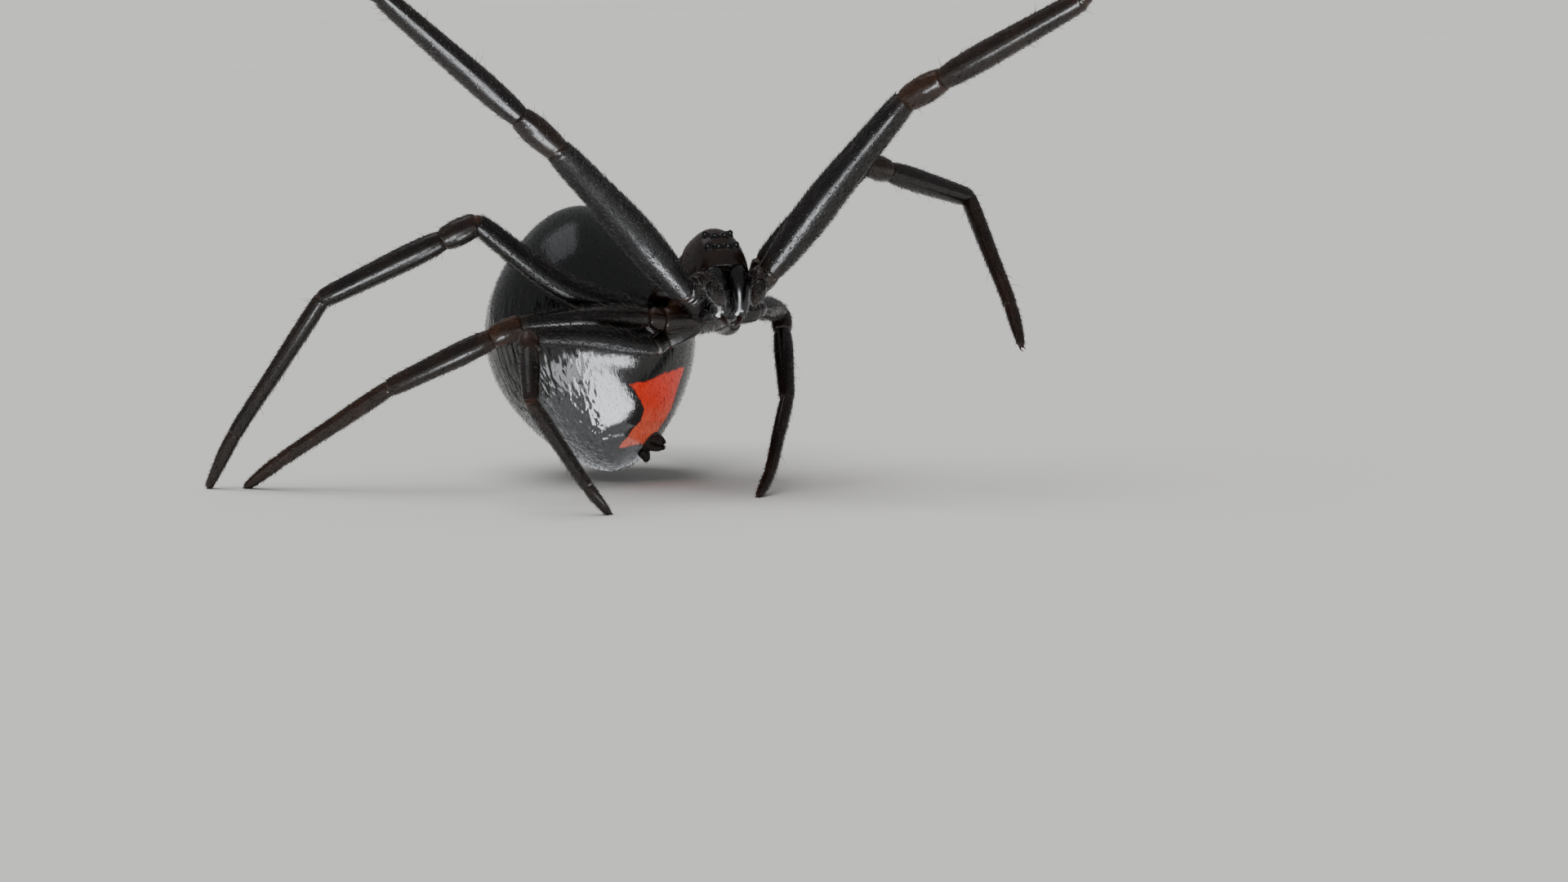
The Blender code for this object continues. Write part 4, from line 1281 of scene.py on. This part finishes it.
LEGS = (
    Leg("leg_right_1", 1, -1, (38, 12, 1.80), (-3.20, 0.1, 6.80), 0.10,
        (-7.0, -4.0, 11.55), (-12.3, -5.0, 16.3), (-18.0, -7.0, 22.3), 0.50, 1.7),
    Leg("leg_left_1", 1, 1, (44, 17, 2.00), (-0.50, 0.85, 7.35), 0.10,
        (3.88, 1.4, 12.85), (9.35, -1.8, 16.15), (12.6, -3.6, 24.2), 1.10, 0.7),
    Leg("leg_right_2", 2, -1, (84, -4, 1.65), (-4.32, 0.98, 5.90), 0.06,
        (-8.5, 1.5, 5.62), (-12.8, 1.5, 3.55), (-17.8, 3.5, 0.0), 1.15),
    Leg("leg_left_2", 2, 1, (76, 26, 1.85), (-0.70, 2.3, 7.60), 0.10,
        (2.65, 2.55, 10.75), (6.1, 5.0, 9.5), (7.7, 1.5, 4.9), 0.60),
    Leg("leg_right_3", 3, -1, (108, -18, 1.65), (-4.2, 1.15, 4.90), 0.15,
        (-8.1, -1.3, 5.5), (-7.9, -3.6, 3.65), (-5.5, -2.8, 0.0), 0.50, 1.6),
    Leg("leg_left_3", 3, 1, (106, 10, 1.80), (-0.85, 3.45, 5.95), 0.06,
        (-0.1, 6.5, 5.55), (0.1, 4.5, 2.85), (-0.85, 1.2, 0.0), 0.50),
    Leg("leg_right_4", 4, -1, (142, 8, 1.90), (-4.32, 2.25, 5.85), -0.60,
        (-9.9, 1.5, 8.9), (-15.0, 2.0, 6.4), (-19.0, 3.4, 0.0), 0.45),
    Leg("leg_left_4", 4, 1, (144, 10, 2.00), (-2.75, 4.35, 6.05), 0.20,
        (-2.2, 9.9, 7.0), (-5.5, 12.5, 3.0), (-8.0, 18.5, 0.0), 0.60),
)


BELLY = ("abdomen_skin",)
FACE = ("jaw_left", "jaw_right", "palp_left", "palp_right", "palp_coat", "jaw_coat")
RAISED = ("leg_right_1_skin", "leg_left_1_skin")


@dataclass(frozen=True)
class Softbox:
    """A soft light: its place, facing, size and brightness, the way its width lies, and what it shines on.

    It gives shine or fill, not both. With names in only, it lights just those pieces, as shades on a lamp would.
    """

    name: str
    place: tuple[float, float, float]
    facing: tuple[float, float, float]
    size: tuple[float, float]
    radiance: float
    along: tuple[float, float, float] = (1.0, 0.0, 0.0)
    only: tuple[str, ...] = ()
    shine: bool = True
    colour: str = "#f6faff"

    def build(self) -> None:
        """Adds the light, which the camera doesn't see; its watts are radiance * pi * area."""
        lamp = bpy.data.lights.new(self.name, "AREA")
        lamp.shape = "RECTANGLE"
        lamp.size, lamp.size_y = self.size[0] * MM, self.size[1] * MM
        lamp.energy = self.radiance * math.pi * lamp.size * lamp.size_y
        lamp.color = linear(self.colour)[:3]
        thing = bpy.data.objects.new(self.name, lamp)
        back = -Vector(self.facing).normalized()
        over = back.cross(Vector(self.along)).normalized()
        thing.rotation_euler = Matrix((over.cross(back), over, back)).transposed().to_euler()
        thing.location = Vector((np.array(self.place) - ORIGIN) * MM)
        thing.visible_camera = False
        thing.visible_glossy, thing.visible_diffuse = self.shine, not self.shine
        if self.only:
            lit = bpy.data.collections.new(self.name)
            for piece in self.only:
                lit.objects.link(bpy.data.objects[piece])
            thing.light_linking.receiver_collection = lit
        bpy.context.scene.collection.objects.link(thing)


@dataclass
class Studio:
    """A plain pale floor, soft lights, and the camera at the photograph's angle."""

    floor_radius: float = 4000.0
    eye: tuple[float, float, float] = (0.0, -138.95, 19.06)
    aim: tuple[float, float, float] = (0.0, 0.0, 2.0)
    lens: float = 100.0
    sensor: float = 36.0
    lights: tuple[Softbox, ...] = (
        Softbox("light_near", (-3.9, -1.6, 0.25), (0.0, 0.0, 1.0), (4.0, 8.8), 22.0, only=BELLY + FACE + ("eyes",)),
        Softbox("light_low", (1.2, -9.6, 0.25), (0.0, 0.0, 1.0), (14.0, 7.4), 22.0, (0.96, 0.28, 0.0),
                BELLY + FACE + ("leg_right_1_coat", "leg_right_3_coat")),
        Softbox("light_under", (-7.4, 3.8, 0.25), (0.0, 0.0, 1.0), (7.2, 7.0), 1.2, only=BELLY),
        Softbox("light_left", (-11.0, -6.0, 0.25), (0.0, 0.0, 1.0), (8.0, 12.0), 7.0, only=BELLY),
        Softbox("light_thigh", (-2.9, -1.0, 0.25), (0.0, 0.0, 1.0), (4.0, 7.0), 4.0,
                only=("leg_right_3_skin", "leg_right_3_coat")),
        Softbox("light_hip", (-0.5, -2.8, 0.25), (0.0, 0.0, 1.0), (4.0, 2.6), 30.0, only=("leg_right_1_skin",)),
        Softbox("light_knee", (-9.6, -6.2, 0.25), (0.0, 0.0, 1.0), (2.6, 5.0), 14.0, only=("leg_right_2_skin",)),
        Softbox("light_crook", (-8.7, -6.0, 0.25), (0.0, 0.0, 1.0), (1.8, 5.0), 14.0, only=("leg_right_4_skin",)),
        Softbox("light_shin", (-15.0, -15.0, 0.25), (0.0, 0.0, 1.0), (6.0, 15.0), 13.0, only=("leg_right_4_skin",)),
        Softbox("light_ahead", (-2.0, -44.0, 0.25), (0.0, 0.0, 1.0), (20.0, 54.0), 14.0,
                only=FACE + RAISED + ("leg_right_1_coat",)),
        Softbox("light_front", (3.0, -110.0, 19.0), (0.0, 1.0, -0.1), (44.0, 34.0), 17.0,
                only=FACE + RAISED + ("leg_left_1_coat", "eyes")),
        Softbox("light_high", (-64.0, 33.0, 150.0), (0.39, -0.16, -0.91), (84.0, 84.0), 0.8),
        Softbox("light_fill", (30.0, -70.0, -5.0), (-0.43, 0.9, 0.08), (60.0, 60.0), 4.0, only=BELLY, shine=False),
    )

    def build(self) -> None:
        """Makes the floor, the lights, the sky's soft fill and the camera."""
        self.floor()
        for light in self.lights:
            light.build()
        self.sky_light()
        world = bpy.data.worlds.new("studio")
        world.use_nodes = True
        fill = world.node_tree.nodes["Background"]
        fill.inputs["Color"].default_value = linear("#e6e7e9")
        fill.inputs["Strength"].default_value = 0.34
        bpy.context.scene.world = world
        self.camera()

    def sky_light(self) -> None:
        """A broad soft light from high on the left, which gives the floor an even tone and soft shadows."""
        lamp = bpy.data.lights.new("light_sky", "SUN")
        lamp.energy, lamp.angle = 2.9, math.radians(60.0)
        thing = bpy.data.objects.new("light_sky", lamp)
        thing.rotation_euler = (math.radians(12.0), math.radians(-18.0), 0.0)
        thing.visible_glossy = False
        bpy.context.scene.collection.objects.link(thing)

    def floor(self) -> None:
        """A wide matt disc at the level of the feet."""
        angle = np.linspace(0, 2 * math.pi, 96, endpoint=False)
        rim = np.stack((np.cos(angle), np.sin(angle), 0 * angle), axis=-1) * self.floor_radius
        thing = new_mesh("floor", rim, (np.arange(96)[None, :],))
        surface = Plain("studio_floor", 1.0, 1.0, "#d9d8d5", "#dcdbd8", 40.0, 0.0)
        thing.data.materials.append(surface.material())

    def camera(self) -> None:
        """The camera: a 100 mm lens, a little above level, with no depth of field."""
        data = bpy.data.cameras.new("camera")
        data.lens, data.sensor_width = self.lens, self.sensor
        data.clip_start, data.clip_end = 0.001, 20.0
        thing = bpy.data.objects.new("camera", data)
        eye, aim = (Vector((np.array(p) - ORIGIN) * MM) for p in (self.eye, self.aim))
        thing.location = eye
        thing.rotation_euler = (aim - eye).to_track_quat("-Z", "Y").to_euler()
        bpy.context.scene.collection.objects.link(thing)
        bpy.context.scene.camera = thing


def body_coat(
    carapace: Shell, under: Sequence[Shell], jaws: Sequence[Shell], palps: Sequence[Shell], material: bpy.types.Material
) -> None:
    """The bristles of the head and thorax, the jaws and the palps, as three pieces."""
    coat = Coat(np.random.default_rng(11))
    ahead = carapace.scatter(coat.rng, 30.0)
    keep = (ahead.normals @ BODY.axes()[2]) > -0.2
    ahead = Roots(ahead.points[keep], ahead.normals[keep], -ahead.lie[keep], ahead.unwrap[keep])
    coat.grow(ahead, HairStyle(0.15, lift=32.0), (0, 4))
    for k, skin in enumerate(under):
        coat.grow(skin.scatter(coat.rng, 80.0), HairStyle(0.20, lift=38.0), (k + 1, 4))
    coat.piece("body_coat", material, Slot.BLACK)
    coat = Coat(np.random.default_rng(12))
    for k, skin in enumerate(jaws):
        low = 0.25 + 0.75 * smoothstep(0.45, 0.8, skin.marks["run"])
        coat.grow(skin.scatter(coat.rng, 80.0, low), HairStyle(0.20, lift=35.0), (k, 2))
    coat.piece("jaw_coat", material, Slot.BLACK)
    coat = Coat(np.random.default_rng(13))
    for k, skin in enumerate(palps):
        coat.grow(skin.scatter(coat.rng, 240.0), HairStyle(0.20, lift=34.0), (k, len(palps)))
    coat.piece("palp_coat", material, Slot.BROWN)


def abdomen_coat(skin: Shell, cones: Sequence[Shell], material: bpy.types.Material) -> None:
    """The abdomen's sparse short bristles, and the fringe of the spinnerets."""
    coat = Coat(np.random.default_rng(21))
    coat.grow(skin.scatter(coat.rng, 55.0), HairStyle(0.14, 0.011, lift=40.0, spread=0.3))
    coat.piece("abdomen_coat", material, Slot.ABDOMEN)
    coat = Coat(np.random.default_rng(22))
    for k, cone in enumerate(cones):
        coat.grow(cone.scatter(coat.rng, 120.0), HairStyle(0.14, lift=25.0), (k, len(cones)))
    coat.piece("spinneret_coat", material, Slot.SPINNERET)


def main() -> None:
    """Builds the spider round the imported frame, then the studio."""
    logging.basicConfig(level=logging.INFO, format="%(name)s %(message)s")
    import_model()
    shield = Cuticle("carapace_chitin", 1.56, 0.18).material()
    leg_skin = Cuticle("leg_chitin", 1.56, 0.20).material()
    soft = Plain("joint_skin", 1.45, 0.42, "#2a1a10", "#4a3220", 0.15, 0.01).material()
    lens = Plain("eye_lens", 1.50, 0.04, "#050404", "#0a0706", 0.5, 0.0).material()
    horn = Plain("claw_horn", 1.56, 0.18, "#1a0703", "#341006", 0.3, 0.002).material()
    grey = Plain("spinneret_skin", 1.45, 0.45, "#1c1815", "#3a332d", 0.08, 0.01).material()
    bristle = Bristle("setae", 1.56, 0.32).material()
    abdomen = Abdomen()
    axis = abdomen.frame()[0]
    tilt = Vector((0.0, 0.0, 1.0)).rotation_difference(Vector(axis)).to_euler()
    belly_skin = AbdomenSkin("abdomen_cuticle", 1.56, 0.14, turn=tuple(tilt)).material()
    carapace = Carapace().build(shield, lens)
    under = UnderBody().build(shield, soft, abdomen)
    jaws, palps = [], []
    for side in (-1, 1):
        jaws.append(Jaws().build(side, shield, horn))
        palps += Palps().build(side, leg_skin, horn)
    skin = abdomen.build(belly_skin)
    cones, _ = Spinnerets().build(abdomen, grey)
    for number, leg in enumerate(LEGS):
        leg.build(leg_skin, horn, bristle, 100 + number)
    body_coat(carapace, under, jaws, palps, bristle)
    abdomen_coat(skin, cones, bristle)
    Studio().build()


if __name__ == "__main__":
    main()
